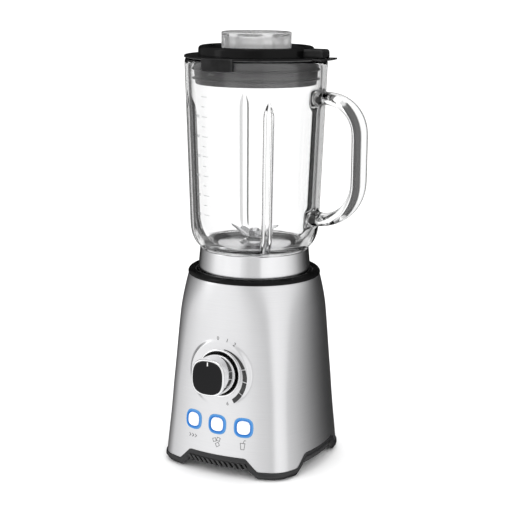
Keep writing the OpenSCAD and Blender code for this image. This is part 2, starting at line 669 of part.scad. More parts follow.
module lid_seal() color([0.35, 0.35, 0.36]) rotate_extrude() polygon([
    [53.5, 367.6], [56.2, 366.7], [57.2, 367.4], [57.6, 371], [60.8, 372.4], [57.8, 373.6],
    [58.4, 380], [60.9, 381.3], [58.6, 382.6], [59.3, lid_z], [53.5, lid_z]]);

flute_r = 60;
flute_x = 89.3;
module measuring_cap() color([0.9, 0.92, 0.93, 0.5]) difference() {
    rotate_extrude() polygon([
        [29.6, 379], [31.4, 379], [32.1, 397.3], [cap_r, 397.3], [cap_r, cap_top_z - 1.2],
        [cap_r - 1.2, cap_top_z], [26, cap_top_z], [22, cap_top_z - 1.8], [0, cap_top_z - 2],
        [0, cap_top_z - 4.6], [24, cap_top_z - 4.6], [26.8, cap_top_z - 7], [26.8, 397],
        [29.6, 394]]);
    for (i = [0:5]) rotate([0, 0, 60 * i - 13.5]) translate([flute_x, 0, 399.5])
        cylinder(r = flute_r, h = cap_top_z - 2.4 - 399.5, $fn = 180);
}

base_shell();
base_skirt();
bottom_cover();
rubber_feet();
cover_screws();
top_ring();
jar_socket();
dial_bezel();
dial_well();
dial_scale();
light_rings();
button_board();
button_switches();
speed_switch();
control_board();
board_parts();
stator_core();
field_coils();
upper_bracket();
lower_bracket();
upper_bearing();
lower_bearing();
rubber_mounts();
motor_screws();
brush_holders();
carbon_brushes();
interlock_switch();
interlock_spring();
cord_gland();
motor_shaft();
rotor_core();
rotor_windings();
commutator();
cooling_fan();
drive_coupling();
knob_shell();
knob_cap();
knob_pointer();
knob_shaft();
button_left();
button_middle();
button_right();
interlock_pin();
jar_collar();
collar_band();
blade_housing();
jar_gasket();
blade_bushes();
shaft_seal();
blade_shaft();
upper_blades();
lower_blades();
blade_nut();
driven_coupling();
glass_jar();
lid_cover();
lid_seal();
measuring_cap();
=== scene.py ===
# %% [markdown]
# # A countertop blender, modelled cell by cell
# The real thing is a brushed steel motor base with a black moulded foot, a chrome speed knob and
# three lit buttons. A glass jar stands on it, screwed into a collar that carries the blades.
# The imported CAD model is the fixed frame: it gives every size and place, and it moves the bodies.
# Here each piece that shows gets its real surface. We work in millimetres, as a workshop does, and
# scale each piece to metres when it is finished.

import json
import math

import bmesh
import bpy
from mathutils import Matrix, Vector


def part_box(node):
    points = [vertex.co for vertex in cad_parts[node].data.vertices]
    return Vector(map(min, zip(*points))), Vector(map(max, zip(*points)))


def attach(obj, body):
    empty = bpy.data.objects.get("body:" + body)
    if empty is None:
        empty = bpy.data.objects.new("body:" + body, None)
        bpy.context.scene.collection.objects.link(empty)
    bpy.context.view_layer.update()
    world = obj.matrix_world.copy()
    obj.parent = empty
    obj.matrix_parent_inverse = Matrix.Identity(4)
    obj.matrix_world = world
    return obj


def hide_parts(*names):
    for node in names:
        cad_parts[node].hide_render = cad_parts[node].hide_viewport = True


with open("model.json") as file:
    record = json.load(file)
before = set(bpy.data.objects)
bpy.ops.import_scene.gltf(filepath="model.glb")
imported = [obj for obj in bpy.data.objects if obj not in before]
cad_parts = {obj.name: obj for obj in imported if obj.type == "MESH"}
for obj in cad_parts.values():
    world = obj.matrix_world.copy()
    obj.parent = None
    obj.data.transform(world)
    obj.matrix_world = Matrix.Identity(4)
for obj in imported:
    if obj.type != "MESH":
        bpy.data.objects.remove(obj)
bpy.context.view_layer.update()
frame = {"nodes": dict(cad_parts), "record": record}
scene = bpy.context.scene
MM = 0.001

# %% [markdown]
# ## Node groups for the finishes
# Real surfaces are never one flat colour. Plastic has a fine moulded grain, steel has brush lines,
# and everything that is handled has faint smudges. Each of these effects is used by many finishes,
# so each is built once, as a node group with named inputs that gives out values and colours. The
# shader itself stays in the material, where its constants are set on its own sockets.

# %% A helper that wires nodes
def add(tree, kind, links=None, **settings):
    """Adds a node, sets its properties, and fills its inputs: values or other nodes' outputs."""
    node = tree.nodes.new(kind)
    for key, value in settings.items():
        setattr(node, key, value)
    for socket, source in (links or {}).items():
        target = node.inputs[socket]
        if isinstance(source, bpy.types.NodeSocket):
            tree.links.new(source, target)
        else:
            target.default_value = source
    return node


def math_node(tree, operation, *values):
    return add(tree, "ShaderNodeMath", dict(enumerate(values)), operation=operation).outputs[0]


def spread(tree, value, low, high, start=0.0, end=1.0):
    """Maps a value that runs from start to end onto low to high."""
    links = {"Value": value, "From Min": start, "From Max": end, "To Min": low, "To Max": high}
    return add(tree, "ShaderNodeMapRange", links).outputs["Result"]


# %% A helper that starts a node group
def group(name, inputs, outputs):
    """A node group with named number and vector inputs. Returns its tree, inputs and end."""
    tree = bpy.data.node_groups.new(name, "ShaderNodeTree")
    for label, default in inputs.items():
        kind = "NodeSocketVector" if default is None else "NodeSocketFloat"
        socket = tree.interface.new_socket(name=label, in_out="INPUT", socket_type=kind)
        if default is not None:
            socket.default_value = default
    for label in outputs:
        tree.interface.new_socket(name=label, in_out="OUTPUT", socket_type="NodeSocketFloat")
    start = tree.nodes.new("NodeGroupInput")
    end = tree.nodes.new("NodeGroupOutput")
    return tree, start.outputs, end


# %% Grain: the fine texture of a mould, and the slow drift of colour over a moulding
grain_tree, ins, end = group("Moulded grain", {"Vector": None, "Size": 1500.0}, ["Tone", "Height"])
fine = add(grain_tree, "ShaderNodeTexNoise", {"Vector": ins["Vector"], "Scale": ins["Size"],
                                              "Detail": 3.0, "Roughness": 0.6})
slow = add(grain_tree, "ShaderNodeTexNoise", {"Vector": ins["Vector"], "Scale": 22.0,
                                              "Detail": 2.0})
part_fine = math_node(grain_tree, "MULTIPLY", fine.outputs["Fac"], 0.3)
tone = math_node(grain_tree, "MULTIPLY_ADD", slow.outputs["Fac"], 0.7, part_fine)
grain_tree.links.new(tone, end.inputs["Tone"])
grain_tree.links.new(fine.outputs["Fac"], end.inputs["Height"])
print(grain_tree.name, "has", len(grain_tree.nodes), "nodes")

# %% [markdown]
# Brushing drags a fine abrasive along the sheet, so its scratches are long one way and hair-thin
# the other. A noise squeezed by a Vector Math node does that. The squeeze is an input, so one group
# brushes the housing and the collar round the axis; the blade's steel gets an even squeeze, with no
# direction.

# %% Brushing: hair-fine lines along one direction
brush_tree, ins, end = group("Brushing", {"Vector": None, "Squeeze": None, "Slow": 9.0},
                             ["Tone", "Height"])
along = add(brush_tree, "ShaderNodeVectorMath", {0: ins["Vector"], 1: ins["Squeeze"]},
            operation="MULTIPLY").outputs[0]
hair = add(brush_tree, "ShaderNodeTexNoise", {"Vector": along, "Scale": 1.0, "Detail": 4.0,
                                              "Roughness": 0.7})
drift = add(brush_tree, "ShaderNodeTexNoise", {"Vector": ins["Vector"], "Scale": ins["Slow"],
                                               "Detail": 1.0})
lines = math_node(brush_tree, "MULTIPLY", hair.outputs["Fac"], 0.75)
mixed = math_node(brush_tree, "MULTIPLY_ADD", drift.outputs["Fac"], 0.25, lines)
brush_tree.links.new(mixed, end.inputs["Tone"])
brush_tree.links.new(hair.outputs["Fac"], end.inputs["Height"])
print(brush_tree.name, "has", len(brush_tree.nodes), "nodes")

# %% Smudges: where hands and cloths have been
smudge_tree, ins, end = group("Smudges", {"Vector": None, "Size": 14.0}, ["Mask"])
cloud = add(smudge_tree, "ShaderNodeTexNoise", {"Vector": ins["Vector"], "Scale": ins["Size"],
                                                "Detail": 5.0, "Distortion": 0.6})
smudge_tree.links.new(spread(smudge_tree, cloud.outputs["Fac"], 0.0, 1.0, 0.45, 0.75),
                      end.inputs["Mask"])

# %% Edge wear and painted edge sheen: pointiness is high on a ridge, and noise breaks the line up. The paler ridges are partly wear and partly a painted highlight
wear_and_sheen_tree, ins, end = group("Worn edges and painted sheen", {"Vector": None}, ["Mask"])
ridge = add(wear_and_sheen_tree, "ShaderNodeNewGeometry").outputs["Pointiness"]
ridge = spread(wear_and_sheen_tree, ridge, 0.0, 1.0, 0.52, 0.60)
broken = add(wear_and_sheen_tree, "ShaderNodeTexNoise", {"Vector": ins["Vector"], "Scale": 180.0,
                                               "Detail": 3.0}).outputs["Fac"]
wear_and_sheen_tree.links.new(math_node(wear_and_sheen_tree, "MULTIPLY", ridge, broken), end.inputs["Mask"])
print(smudge_tree.name, "and", wear_and_sheen_tree.name, "are ready")

# %% [markdown]
# ## Finishes
# A finish is a material with the shared groups wired to Base Color, Roughness and a Bump. The two
# ends of the colour drift are given for each finish, so a black moulding is never one black.

# %% Helpers for finishes
FINISH = {}


def begin(name):
    """A new material with its Principled shader, its tree and the object coordinates."""
    material = bpy.data.materials.new(name)
    material.use_nodes = True
    tree = material.node_tree
    shader = tree.nodes["Principled BSDF"]
    place = add(tree, "ShaderNodeTexCoord").outputs["Object"]
    FINISH[name] = material
    return tree, shader, place


def effect(tree, made, links):
    """Places a node group in a material and returns what it gives out."""
    return add(tree, "ShaderNodeGroup", links, node_tree=made).outputs


def blend_colours(tree, factor, first, second):
    ends = [c if isinstance(c, bpy.types.NodeSocket) else (*c, 1) for c in (first, second)]
    links = {0: factor, 6: ends[0], 7: ends[1]}
    return add(tree, "ShaderNodeMix", links, data_type="RGBA").outputs[2]


def bump(tree, shader, height, strength, depth=0.0001):
    node = add(tree, "ShaderNodeBump", {"Height": height, "Strength": strength, "Distance": depth})
    tree.links.new(node.outputs["Normal"], shader.inputs["Normal"])


def fill(shader, **values):
    """Sets the shader's sockets by name: a number is set, another node's output is linked."""
    for label, value in values.items():
        socket = shader.inputs[label.replace("_", " ")]
        if isinstance(value, bpy.types.NodeSocket):
            shader.id_data.links.new(value, socket)
        else:
            socket.default_value = value


def scuffed(tree, tone, rough, vary, hands, dull):
    """Roughness that follows the tone, with dull smudges on top."""
    base = spread(tree, tone, rough * (1 - vary), rough * (1 + vary))
    return math_node(tree, "MULTIPLY_ADD", hands, dull, base)


# %% Moulded plastic and rubber: grain, slow colour drift, smudges, and pale edges that are partly wear and partly a painted highlight
def moulded(name, dark, pale, rough, grain=1500.0, relief=0.15, edge_wear_and_sheen=(0.25, 0.25, 0.25),
            **constants):
    tree, shader, place = begin(name)
    skin = effect(tree, grain_tree, {"Vector": place, "Size": grain})
    hands = effect(tree, smudge_tree, {"Vector": place})["Mask"]
    edges = effect(tree, wear_and_sheen_tree, {"Vector": place})["Mask"]
    colour = blend_colours(tree, skin["Tone"], dark, pale)
    # Ridges blend towards a paler colour: part edge wear, part painted highlight
    colour = blend_colours(tree, math_node(tree, "MULTIPLY", edges, 0.25), colour, edge_wear_and_sheen)
    bump(tree, shader, skin["Height"], relief)
    fill(shader, Base_Color=colour, **constants,
         Roughness=scuffed(tree, skin["Tone"], rough, 0.15, hands, 0.08))


moulded("black_trim", (0.007, 0.007, 0.008), (0.015, 0.015, 0.016), 0.36, relief=0.2,
        Specular_IOR_Level=0.4)
# The lid's ridges blend to a paler grey than the other mouldings: a painted highlight along its
# rounded edges, with a little wear
moulded("lid_black", (0.0015, 0.0015, 0.0016), (0.0035, 0.0035, 0.0037), 0.14, relief=0.04,
        edge_wear_and_sheen=(0.5, 0.5, 0.5), Specular_IOR_Level=0.12)
moulded("socket_black", (0.012, 0.012, 0.013), (0.024, 0.024, 0.025), 0.42, relief=0.3)
moulded("collar_black", (0.010, 0.010, 0.010), (0.020, 0.020, 0.021), 0.40, relief=0.25)
moulded("coupling_black", (0.012, 0.012, 0.013), (0.026, 0.026, 0.027), 0.45, relief=0.35)
moulded("foot_rubber", (0.020, 0.020, 0.020), (0.038, 0.037, 0.036), 0.72, 900.0, 0.5)
moulded("gland_rubber", (0.014, 0.014, 0.014), (0.028, 0.028, 0.028), 0.60, 1100.0, 0.4)
moulded("knob_black", (0.004, 0.004, 0.0045), (0.008, 0.008, 0.009), 0.34, 2200.0, 0.12,
        Specular_IOR_Level=0.15)
moulded("dial_black", (0.004, 0.004, 0.004), (0.009, 0.009, 0.009), 0.40, relief=0.1,
        Specular_IOR_Level=0.25)
moulded("pointer_white", (0.80, 0.80, 0.79), (0.88, 0.88, 0.87), 0.40, relief=0.05)
moulded("electronics", (0.030, 0.032, 0.045), (0.060, 0.062, 0.080), 0.45, 700.0, 0.3)
moulded("switch_housing", (0.045, 0.046, 0.052), (0.075, 0.076, 0.084), 0.50, 1000.0, 0.3)
moulded("carbon", (0.010, 0.010, 0.010), (0.034, 0.033, 0.032), 0.55, 2600.0, 0.6)
moulded("fan_nylon", (0.66, 0.62, 0.50), (0.80, 0.77, 0.66), 0.48, 800.0, 0.3, (0.9, 0.9, 0.85))
moulded("pin_white", (0.68, 0.67, 0.62), (0.80, 0.79, 0.75), 0.45, 900.0, 0.2, (0.9, 0.9, 0.88))
print("moulded finishes:", len(FINISH))

# %% [markdown]
# Brushed steel reflects in a streak across its scratches. The scratches run level round the base
# and the collar, so the noise is squeezed thin in height, and the Principled shader's anisotropy
# with a tangent round Z stretches each highlight up and down.

# %% Brushed and turned metal
def brushed(name, dark, pale, rough, squeeze, relief=0.12, streak=0.5):
    tree, shader, place = begin(name)
    lines = effect(tree, brush_tree, {"Vector": place, "Squeeze": squeeze})
    hands = effect(tree, smudge_tree, {"Vector": place, "Size": 9.0})["Mask"]
    edges = effect(tree, wear_and_sheen_tree, {"Vector": place})["Mask"]
    colour = blend_colours(tree, lines["Tone"], dark, pale)
    # Ridges turn paler: part wear, part a painted highlight along the edges
    colour = blend_colours(tree, math_node(tree, "MULTIPLY", edges, 0.5), colour, (0.9, 0.9, 0.9))
    bump(tree, shader, lines["Height"], relief, 0.00005)
    around = add(tree, "ShaderNodeTangent", direction_type="RADIAL", axis="Z").outputs[0]
    fill(shader, Base_Color=colour, Metallic=1.0, Anisotropic=streak, Anisotropic_Rotation=0.25,
         Tangent=around, Roughness=scuffed(tree, lines["Tone"], rough, 0.2, hands, 0.05))


LEVEL = (35.0, 35.0, 5200.0)
TURNED = (45.0, 45.0, 6500.0)
ACROSS, COARSE, CAST = (1800.0,) * 3, (900.0,) * 3, (700.0,) * 3
brushed("brushed_housing", (0.60, 0.60, 0.61), (0.80, 0.80, 0.81), 0.34, LEVEL)
brushed("collar_steel", (0.66, 0.66, 0.67), (0.84, 0.84, 0.85), 0.18, TURNED)
brushed("cutter_steel", (0.52, 0.52, 0.53), (0.72, 0.72, 0.73), 0.22, COARSE, 0.06, 0.2)
brushed("screw_steel", (0.42, 0.42, 0.43), (0.60, 0.60, 0.61), 0.30, ACROSS, 0.1, 0.0)
brushed("bearing_steel", (0.50, 0.50, 0.51), (0.70, 0.70, 0.71), 0.20, TURNED, 0.05, 0.3)
brushed("bracket_alloy", (0.36, 0.36, 0.37), (0.55, 0.55, 0.56), 0.48, CAST, 0.6, 0.0)
brushed("brush_brass", (0.55, 0.38, 0.14), (0.75, 0.55, 0.24), 0.30, ACROSS, 0.1, 0.0)
brushed("copper_bars", (0.60, 0.27, 0.12), (0.82, 0.42, 0.22), 0.28, (40.0, 40.0, 4000.0), 0.1, 0.3)
brushed("lamination", (0.20, 0.21, 0.22), (0.42, 0.43, 0.44), 0.45, (20.0, 20.0, 2000.0), 0.6, 0.0)
print("metals done; finishes so far:", len(FINISH))

# %% Polished chrome: a clear mirror with a breath of smudges
tree, shader, place = begin("dial_chrome")
hands = effect(tree, smudge_tree, {"Vector": place, "Size": 60.0})["Mask"]
colour = blend_colours(tree, hands, (0.88, 0.88, 0.89), (0.80, 0.80, 0.80))
skin = effect(tree, grain_tree, {"Vector": place, "Size": 1200.0})
bump(tree, shader, skin["Height"], 0.02, 0.00005)
fill(shader, Base_Color=colour, Roughness=spread(tree, hands, 0.05, 0.13), Metallic=1.0)

# %% Enamelled copper wire: rows of fine turns
tree, shader, place = begin("copper_wire")
turns = add(tree, "ShaderNodeTexWave", {"Vector": place, "Scale": 420.0, "Distortion": 1.5,
                                        "Detail": 1.0},
            wave_type="BANDS", bands_direction="DIAGONAL").outputs["Fac"]
colour = blend_colours(tree, turns, (0.20, 0.06, 0.02), (0.72, 0.30, 0.12))
bump(tree, shader, turns, 0.8, 0.0003)
fill(shader, Base_Color=colour, Roughness=spread(tree, turns, 0.45, 0.25), Metallic=0.8)

# %% Circuit board: green lacquer over copper tracks
tree, shader, place = begin("circuit_green")
tracks = add(tree, "ShaderNodeTexBrick", {"Vector": place, "Scale": 160.0,
                                          "Mortar Size": 0.06}).outputs["Fac"]
colour = blend_colours(tree, tracks, (0.010, 0.085, 0.030), (0.035, 0.170, 0.060))
skin = effect(tree, grain_tree, {"Vector": place, "Size": 900.0})
bump(tree, shader, tracks, 0.3, 0.0001)
fill(shader, Base_Color=colour, Roughness=spread(tree, skin["Tone"], 0.2, 0.4))
print("board finish done")

# %% [markdown]
# ## Clear finishes
# The jar is thick pressed glass. It needs no tint of its own: light bends at both faces of the
# wall, so the edges go dark by themselves. Smudges touch the colour a little and the roughness,
# while transmission and metallic stay plain numbers on the shader. The cap is of clouded plastic,
# and the lid's seal is a grey silicone.

# %% Glass, clear plastic and silicone
def clear(name, body, stain, rough, haze, ripple, **constants):
    tree, shader, place = begin(name)
    hands = effect(tree, smudge_tree, {"Vector": place, "Size": 11.0})["Mask"]
    skin = effect(tree, grain_tree, {"Vector": place, "Size": 38.0})
    bump(tree, shader, skin["Height"], ripple, 0.0004)
    fill(shader, Base_Color=blend_colours(tree, hands, body, stain),
         Roughness=spread(tree, hands, rough, haze), **constants)


clear("jar_glass", (1.0, 1.0, 1.0), (0.985, 0.99, 0.99), 0.0, 0.012, 0.035,
      Transmission_Weight=1.0, IOR=1.5)
clear("cap_clear", (0.95, 0.95, 0.95), (0.90, 0.905, 0.91), 0.14, 0.22, 0.05,
      Transmission_Weight=0.72, IOR=1.49)
clear("gasket_clear", (0.80, 0.81, 0.82), (0.72, 0.73, 0.74), 0.25, 0.35, 0.1,
      Transmission_Weight=0.6, IOR=1.42)
clear("marks", (0.62, 0.64, 0.65), (0.52, 0.54, 0.55), 0.45, 0.6, 0.1,
      Transmission_Weight=0.75, IOR=1.3)

# %% Grey silicone of the lid's seal, with painted shade: darker in its upper part, under the lid's flange
tree, shader, place = begin("seal_grey")
skin = effect(tree, grain_tree, {"Vector": place, "Size": 700.0})
height = add(tree, "ShaderNodeSeparateXYZ", {"Vector": place}).outputs["Z"]
low, high = (corner.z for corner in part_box("lid_seal"))
# Painted shade, not thickness: the seal above this height is darkened, where the lid's flange
# shades it
thick = spread(tree, height, 0.0, 1.0, low + 0.30 * (high - low), low + 0.45 * (high - low))
colour = blend_colours(tree, skin["Tone"], (0.080, 0.080, 0.081), (0.105, 0.105, 0.106))
colour = blend_colours(tree, thick, colour, (0.030, 0.030, 0.031))
bump(tree, shader, skin["Height"], 0.15)
fill(shader, Base_Color=colour, Roughness=spread(tree, skin["Tone"], 0.32, 0.5))

# %% [markdown]
# The buttons are lit from behind. Each has a white cap and a blue ring that is palest at its outer
# edge. The ring's mesh carries a "rim" attribute, 0 inside to 1 outside, which colours the glow.

# %% Lit finishes
tree, shader, place = begin("blue_light")
rim = add(tree, "ShaderNodeAttribute", attribute_name="rim").outputs["Fac"]
skin = effect(tree, grain_tree, {"Vector": place, "Size": 600.0})
glow = blend_colours(tree, rim, (0.003, 0.15, 0.50), (0.20, 0.50, 0.86))
colour = blend_colours(tree, skin["Tone"], (0.004, 0.05, 0.20), (0.015, 0.10, 0.30))
bump(tree, shader, skin["Height"], 0.05)
fill(shader, Base_Color=colour, Roughness=spread(tree, skin["Tone"], 0.15, 0.3),
     Emission_Color=glow, Emission_Strength=0.55, Specular_IOR_Level=0.2)

tree, shader, place = begin("button_white")
skin = effect(tree, grain_tree, {"Vector": place, "Size": 500.0})
colour = blend_colours(tree, skin["Tone"], (0.86, 0.86, 0.85), (0.93, 0.93, 0.92))
bump(tree, shader, skin["Height"], 0.05)
fill(shader, Base_Color=colour, Roughness=spread(tree, skin["Tone"], 0.25, 0.4),
     Emission_Color=colour, Emission_Strength=0.25)

# %% Printing on the housing and the dial
moulded("ink_grey", (0.010, 0.010, 0.011), (0.022, 0.022, 0.023), 0.5, relief=0.1,
        Specular_IOR_Level=0.2)
print("finishes:", ", ".join(FINISH))

# %% [markdown]
# ## Dress the CAD parts
# The motor, its brackets, the boards and the rest of the works have the right shape already, so
# they keep their meshes. The record says which finish each node has.

# %% Give every CAD node its finish
for part in frame["record"]["subparts"]:
    mesh = frame["nodes"][part["node"]].data
    mesh.materials.clear()
    mesh.materials.append(FINISH[part["material_slot"]])

# %% [markdown]
# ## Mesh helpers
# Four moves make nearly every piece here. A **lathe** spins an outline round the drive axis, like a
# potter. A **loft** extrudes a loop of edges again and again and shapes each new loop. **Soften**
# bevels every sharp edge, because no factory part has an edge so sharp that it catches no light.
# **Finish** scales the piece to metres, dresses it and lets it ride on its body.

# %% Lathe
def lathe(outline, turns=128):
    """Spins a closed outline of (radius, height) points once round the axis."""
    bm = bmesh.new()
    points = [bm.verts.new((r, 0, z)) for r, z in outline]
    edges = [bm.edges.new(pair) for pair in zip(points, points[1:] + points[:1])
             if pair[0].co.x > 0 or pair[1].co.x > 0]
    bmesh.ops.spin(bm, geom=points + edges, cent=(0, 0, 0), axis=(0, 0, 1), angle=math.tau,
                   steps=turns, use_merge=True, use_duplicate=False)
    return tidy(bm)


def tidy(bm):
    bmesh.ops.remove_doubles(bm, verts=bm.verts, dist=0.002)
    bmesh.ops.dissolve_degenerate(bm, edges=bm.edges, dist=0.0005)
    bmesh.ops.recalc_face_normals(bm, faces=bm.faces)
    return bm


# %% Loft
def ring_of(bm, points):
    """A closed loop of edges through the points."""
    verts = [bm.verts.new(p) for p in points]
    return [bm.edges.new(pair) for pair in zip(verts, verts[1:] + verts[:1])]


def grow(bm, edges, move):
    """Extrudes a loop of edges. move gives each new point its place from its old one."""
    made = bmesh.ops.extrude_edge_only(bm, edges=edges)["geom"]
    for vert in (g for g in made if isinstance(g, bmesh.types.BMVert)):
        vert.co = move(vert.co)
    return [g for g in made if isinstance(g, bmesh.types.BMEdge)]


def key(point):
    return tuple(round(c, 4) for c in point)


def loft(loops, bm=None, ends=(True, True)):
    """Faces through loops of points, from the first loop to the last, with flat ends or open."""
    bm = bm or bmesh.new()
    edges = ring_of(bm, loops[0])
    if ends[0]:
        bmesh.ops.contextual_create(bm, geom=edges)
    for old, new in zip(loops, loops[1:]):
        place = {key(a): b for a, b in zip(old, new)}
        edges = grow(bm, edges, lambda co: place[key(co)])
    if ends[1]:
        bmesh.ops.contextual_create(bm, geom=edges)
    return bm


# %% Cut, join and soften
def slice_through(bm, point, normal, clear=False):
    """Cuts every face along a plane. clear takes away the side that the normal points to."""
    bmesh.ops.bisect_plane(bm, geom=bm.verts[:] + bm.edges[:] + bm.faces[:], plane_co=point,
                           plane_no=normal, clear_outer=clear)


def absorb(bm, other):
    """Moves the other bmesh's geometry into bm."""
    carrier = bpy.data.meshes.new("carrier")
    other.to_mesh(carrier)
    other.free()
    bm.from_mesh(carrier)
    bpy.data.meshes.remove(carrier)


def soften(bm, width, segments=2, limit=32.0):
    """Rounds the edges whose faces meet at more than the limit, in degrees."""
    sharp = [e for e in bm.edges if len(e.link_faces) == 2
             and e.calc_face_angle(0.0) > math.radians(limit)]
    bmesh.ops.bevel(bm, geom=sharp, offset=width, offset_type="OFFSET", affect="EDGES",
                    segments=segments, profile=0.5, material=-1, clamp_overlap=True)
    return bm


# %% Finish
def finish(name, bm, body, slot, replaces=(), material=None, limit=38.0, levels=0, weighted=True):
    """Scales a piece to metres, dresses it and lets it ride on its body."""
    bmesh.ops.recalc_face_normals(bm, faces=bm.faces)
    bmesh.ops.scale(bm, vec=(MM, MM, MM), verts=bm.verts)
    mesh = bpy.data.meshes.new(name)
    bm.to_mesh(mesh)
    bm.free()
    mesh.shade_smooth()
    mesh.set_sharp_from_angle(angle=math.radians(limit))
    mesh.materials.append(FINISH[material or slot])
    piece = bpy.data.objects.new(name, mesh)
    scene.collection.objects.link(piece)
    if levels:
        rounder = piece.modifiers.new("Round", "SUBSURF")
        rounder.levels = rounder.render_levels = levels
    elif weighted:
        piece.modifiers.new("Flat faces", "WEIGHTED_NORMAL").keep_sharp = True
    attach(piece, body)
    if replaces:
        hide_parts(*replaces)
    size = [round(d / MM, 1) for d in piece.dimensions]
    print(f"{name}: {len(mesh.polygons)} faces, {size} mm, on {body}")
    return piece


# %% Small maths helpers
def turned(angle, radius, z=0.0):
    return Vector((radius * math.cos(angle), radius * math.sin(angle), z))


def ease(t):
    t = min(max(t, 0.0), 1.0)
    return t * t * (3 - 2 * t)


def steps(first, last, count):
    """count values from first, evenly spaced, without last."""
    return [first + (last - first) * i / count for i in range(count)]


def smooth_at(table, z):
    """The value at z on a smooth curve through a table of (z, value)."""
    z = min(max(z, table[0][0]), table[-1][0])
    i = max(k for k in range(len(table) - 1) if table[k][0] <= z)

    def slope(k):
        before, after = table[max(k - 1, 0)], table[min(k + 1, len(table) - 1)]
        return (after[1] - before[1]) / (after[0] - before[0])

    (z0, v0), (z1, v1) = table[i], table[i + 1]
    h, t = z1 - z0, (z - z0) / (z1 - z0)
    return ((2 * t**3 - 3 * t**2 + 1) * v0 + (t**3 - 2 * t**2 + t) * h * slope(i)
            + (3 * t**2 - 2 * t**3) * v1 + (t**3 - t**2) * h * slope(i + 1))

# %% [markdown]
# ## The steel housing
# The real housing is one sheet of steel, drawn into a square with bulged sides at the foot that
# becomes a circle at the top. One formula gives that section at any height: each side is a shallow
# arc, each corner a tighter one, and the two meet with the same slope. We loft it in fine loops, so
# the reflections run smoothly over it. Cutting the holes with a Boolean would leave slivers that
# show in the steel, so each opening is made by deleting a patch of the grid and growing its edge
# inwards, loop by loop, until it has the hole's own shape.

# %% Section of the base
SIDE_ANGLE = 21.0
TURN = math.cos(math.radians(SIDE_ANGLE)) - math.sin(math.radians(SIDE_ANGLE))
HALF_AT = [(0, 77.5), (20, 75.7), (49, 73), (76, 71), (98, 69.5), (117, 68.4), (137, 67.3),
           (151, 66.5), (159, 65.9), (167, 65.3), (176, 64.5), (184, 63.6)]
ROUND_AT = [(0, 25), (76, 24.5), (98, 27), (117, 30), (137, 34), (151, 38), (159, 42), (167, 48),
            (176, 56), (184, 63.1)]


def side_arc(z):
    """Radius of a side's arc at height z, and how far its centre is from the axis."""
    half, corner = smooth_at(HALF_AT, z), smooth_at(ROUND_AT, z)
    radius = (half - corner * TURN) / (1 - TURN)
    return radius, half - radius


def base_point(column, z, off=0.0):
    """The point of the section at height z where it faces the column's angle."""
    quarter, angle = column
    radius, centre = side_arc(z)
    if angle <= SIDE_ANGLE:
        point = Vector((centre, 0, z)) + turned(math.radians(angle), radius + off)
    else:
        corner = smooth_at(ROUND_AT, z)
        middle = (radius - corner) * math.sin(math.radians(SIDE_ANGLE))
        point = Vector((middle, middle, z)) + turned(math.radians(angle), corner + off)
    return Matrix.Rotation(math.radians(90 * quarter), 3, "Z") @ point


half_side = steps(0, 12.2, 12) + steps(12.2, 16.6, 5) + steps(16.6, SIDE_ANGLE, 4)
side_angles = [-SIDE_ANGLE] + [-a for a in reversed(half_side[1:])] + half_side
corner_angles = steps(SIDE_ANGLE, 90 - SIDE_ANGLE, 16)
COLUMNS = [(quarter, angle) for quarter in range(4) for angle in side_angles + corner_angles]
print("columns round the base:", len(COLUMNS))

# %% Lower edges: arches between the four feet
STEEL_FOOT, ARCH_TOP = 8.0, 20.0


def along(column):
    """How far the column is from the middle of its side, at the foot."""
    return abs(side_arc(STEEL_FOOT)[0] * math.sin(math.radians(column[1])))


def arch(column, foot_x, arch_x, foot_z, top_z, soft=0.08):
    """Height of an arch's edge at a column: foot_z at the feet, top_z between them."""
    if column[1] > SIDE_ANGLE:
        return foot_z
    share = (foot_x - along(column)) / (foot_x - arch_x)
    low = (share + soft) ** 2 / (4 * soft) if abs(share) < soft else max(share, 0.0)
    high = 1 - share
    high = (high + soft) ** 2 / (4 * soft) if abs(high) < soft else max(high, 0.0)
    share = low if share < 0.5 else 1 - high
    return foot_z + (top_z - foot_z) * share


def steel_edge(column):
    return arch(column, 42.0, 30.5, STEEL_FOOT, ARCH_TOP)


# %% Loft the skin of the housing
STRAIGHT_Z, STEEL_TOP, ROW = 26.0, 184.0, 2.2
skin_loops = []
for share in (0.0, 0.06, 0.16, 0.32, 0.5, 0.75):
    heights = [steel_edge(c) + (STRAIGHT_Z - steel_edge(c)) * share for c in COLUMNS]
    skin_loops.append([base_point(c, z) for c, z in zip(COLUMNS, heights)])
rows = round((STEEL_TOP - STRAIGHT_Z) / ROW)
for z in steps(STRAIGHT_Z, STEEL_TOP, rows) + [STEEL_TOP]:
    skin_loops.append([base_point(c, z) for c in COLUMNS])
housing = loft(skin_loops, ends=(False, False))
print("housing grid:", len(housing.faces), "faces")

# %% Places on the front
DIAL_Z, DIAL_TILT, DIAL_PROUD = 99.0, 3.0, 0.3
BUTTON_Z, BUTTON_PITCH = 49.5, 27.0
FRONT_LEAN = math.degrees(math.atan((75.7 - 71) / 56))


def front_y(x, z):
    radius, centre = side_arc(z)
    return -(centre + math.sqrt(radius**2 - x**2))


def on_front(x, z, lean, proud=0.0):
    """A frame on the front: its Z points outwards and its Y up the surface."""
    twist = math.asin(x / side_arc(z)[0])
    return (Matrix.Translation((x, front_y(x, z) - proud, z)) @ Matrix.Rotation(twist, 4, "Z")
            @ Matrix.Rotation(math.radians(90 - lean), 4, "X"))


DIAL = on_front(0, DIAL_Z, DIAL_TILT, DIAL_PROUD)
BUTTONS = [on_front(i * BUTTON_PITCH, BUTTON_Z, FRONT_LEAN) for i in (-1, 0, 1)]


def lift_at(place, u, v):
    """Height of the curved front over the point (u, v) of a frame."""
    lift = 0.0
    for _ in range(4):
        point = place @ Vector((u, v, lift))
        lift += point.y - front_y(point.x, point.z)
    return lift


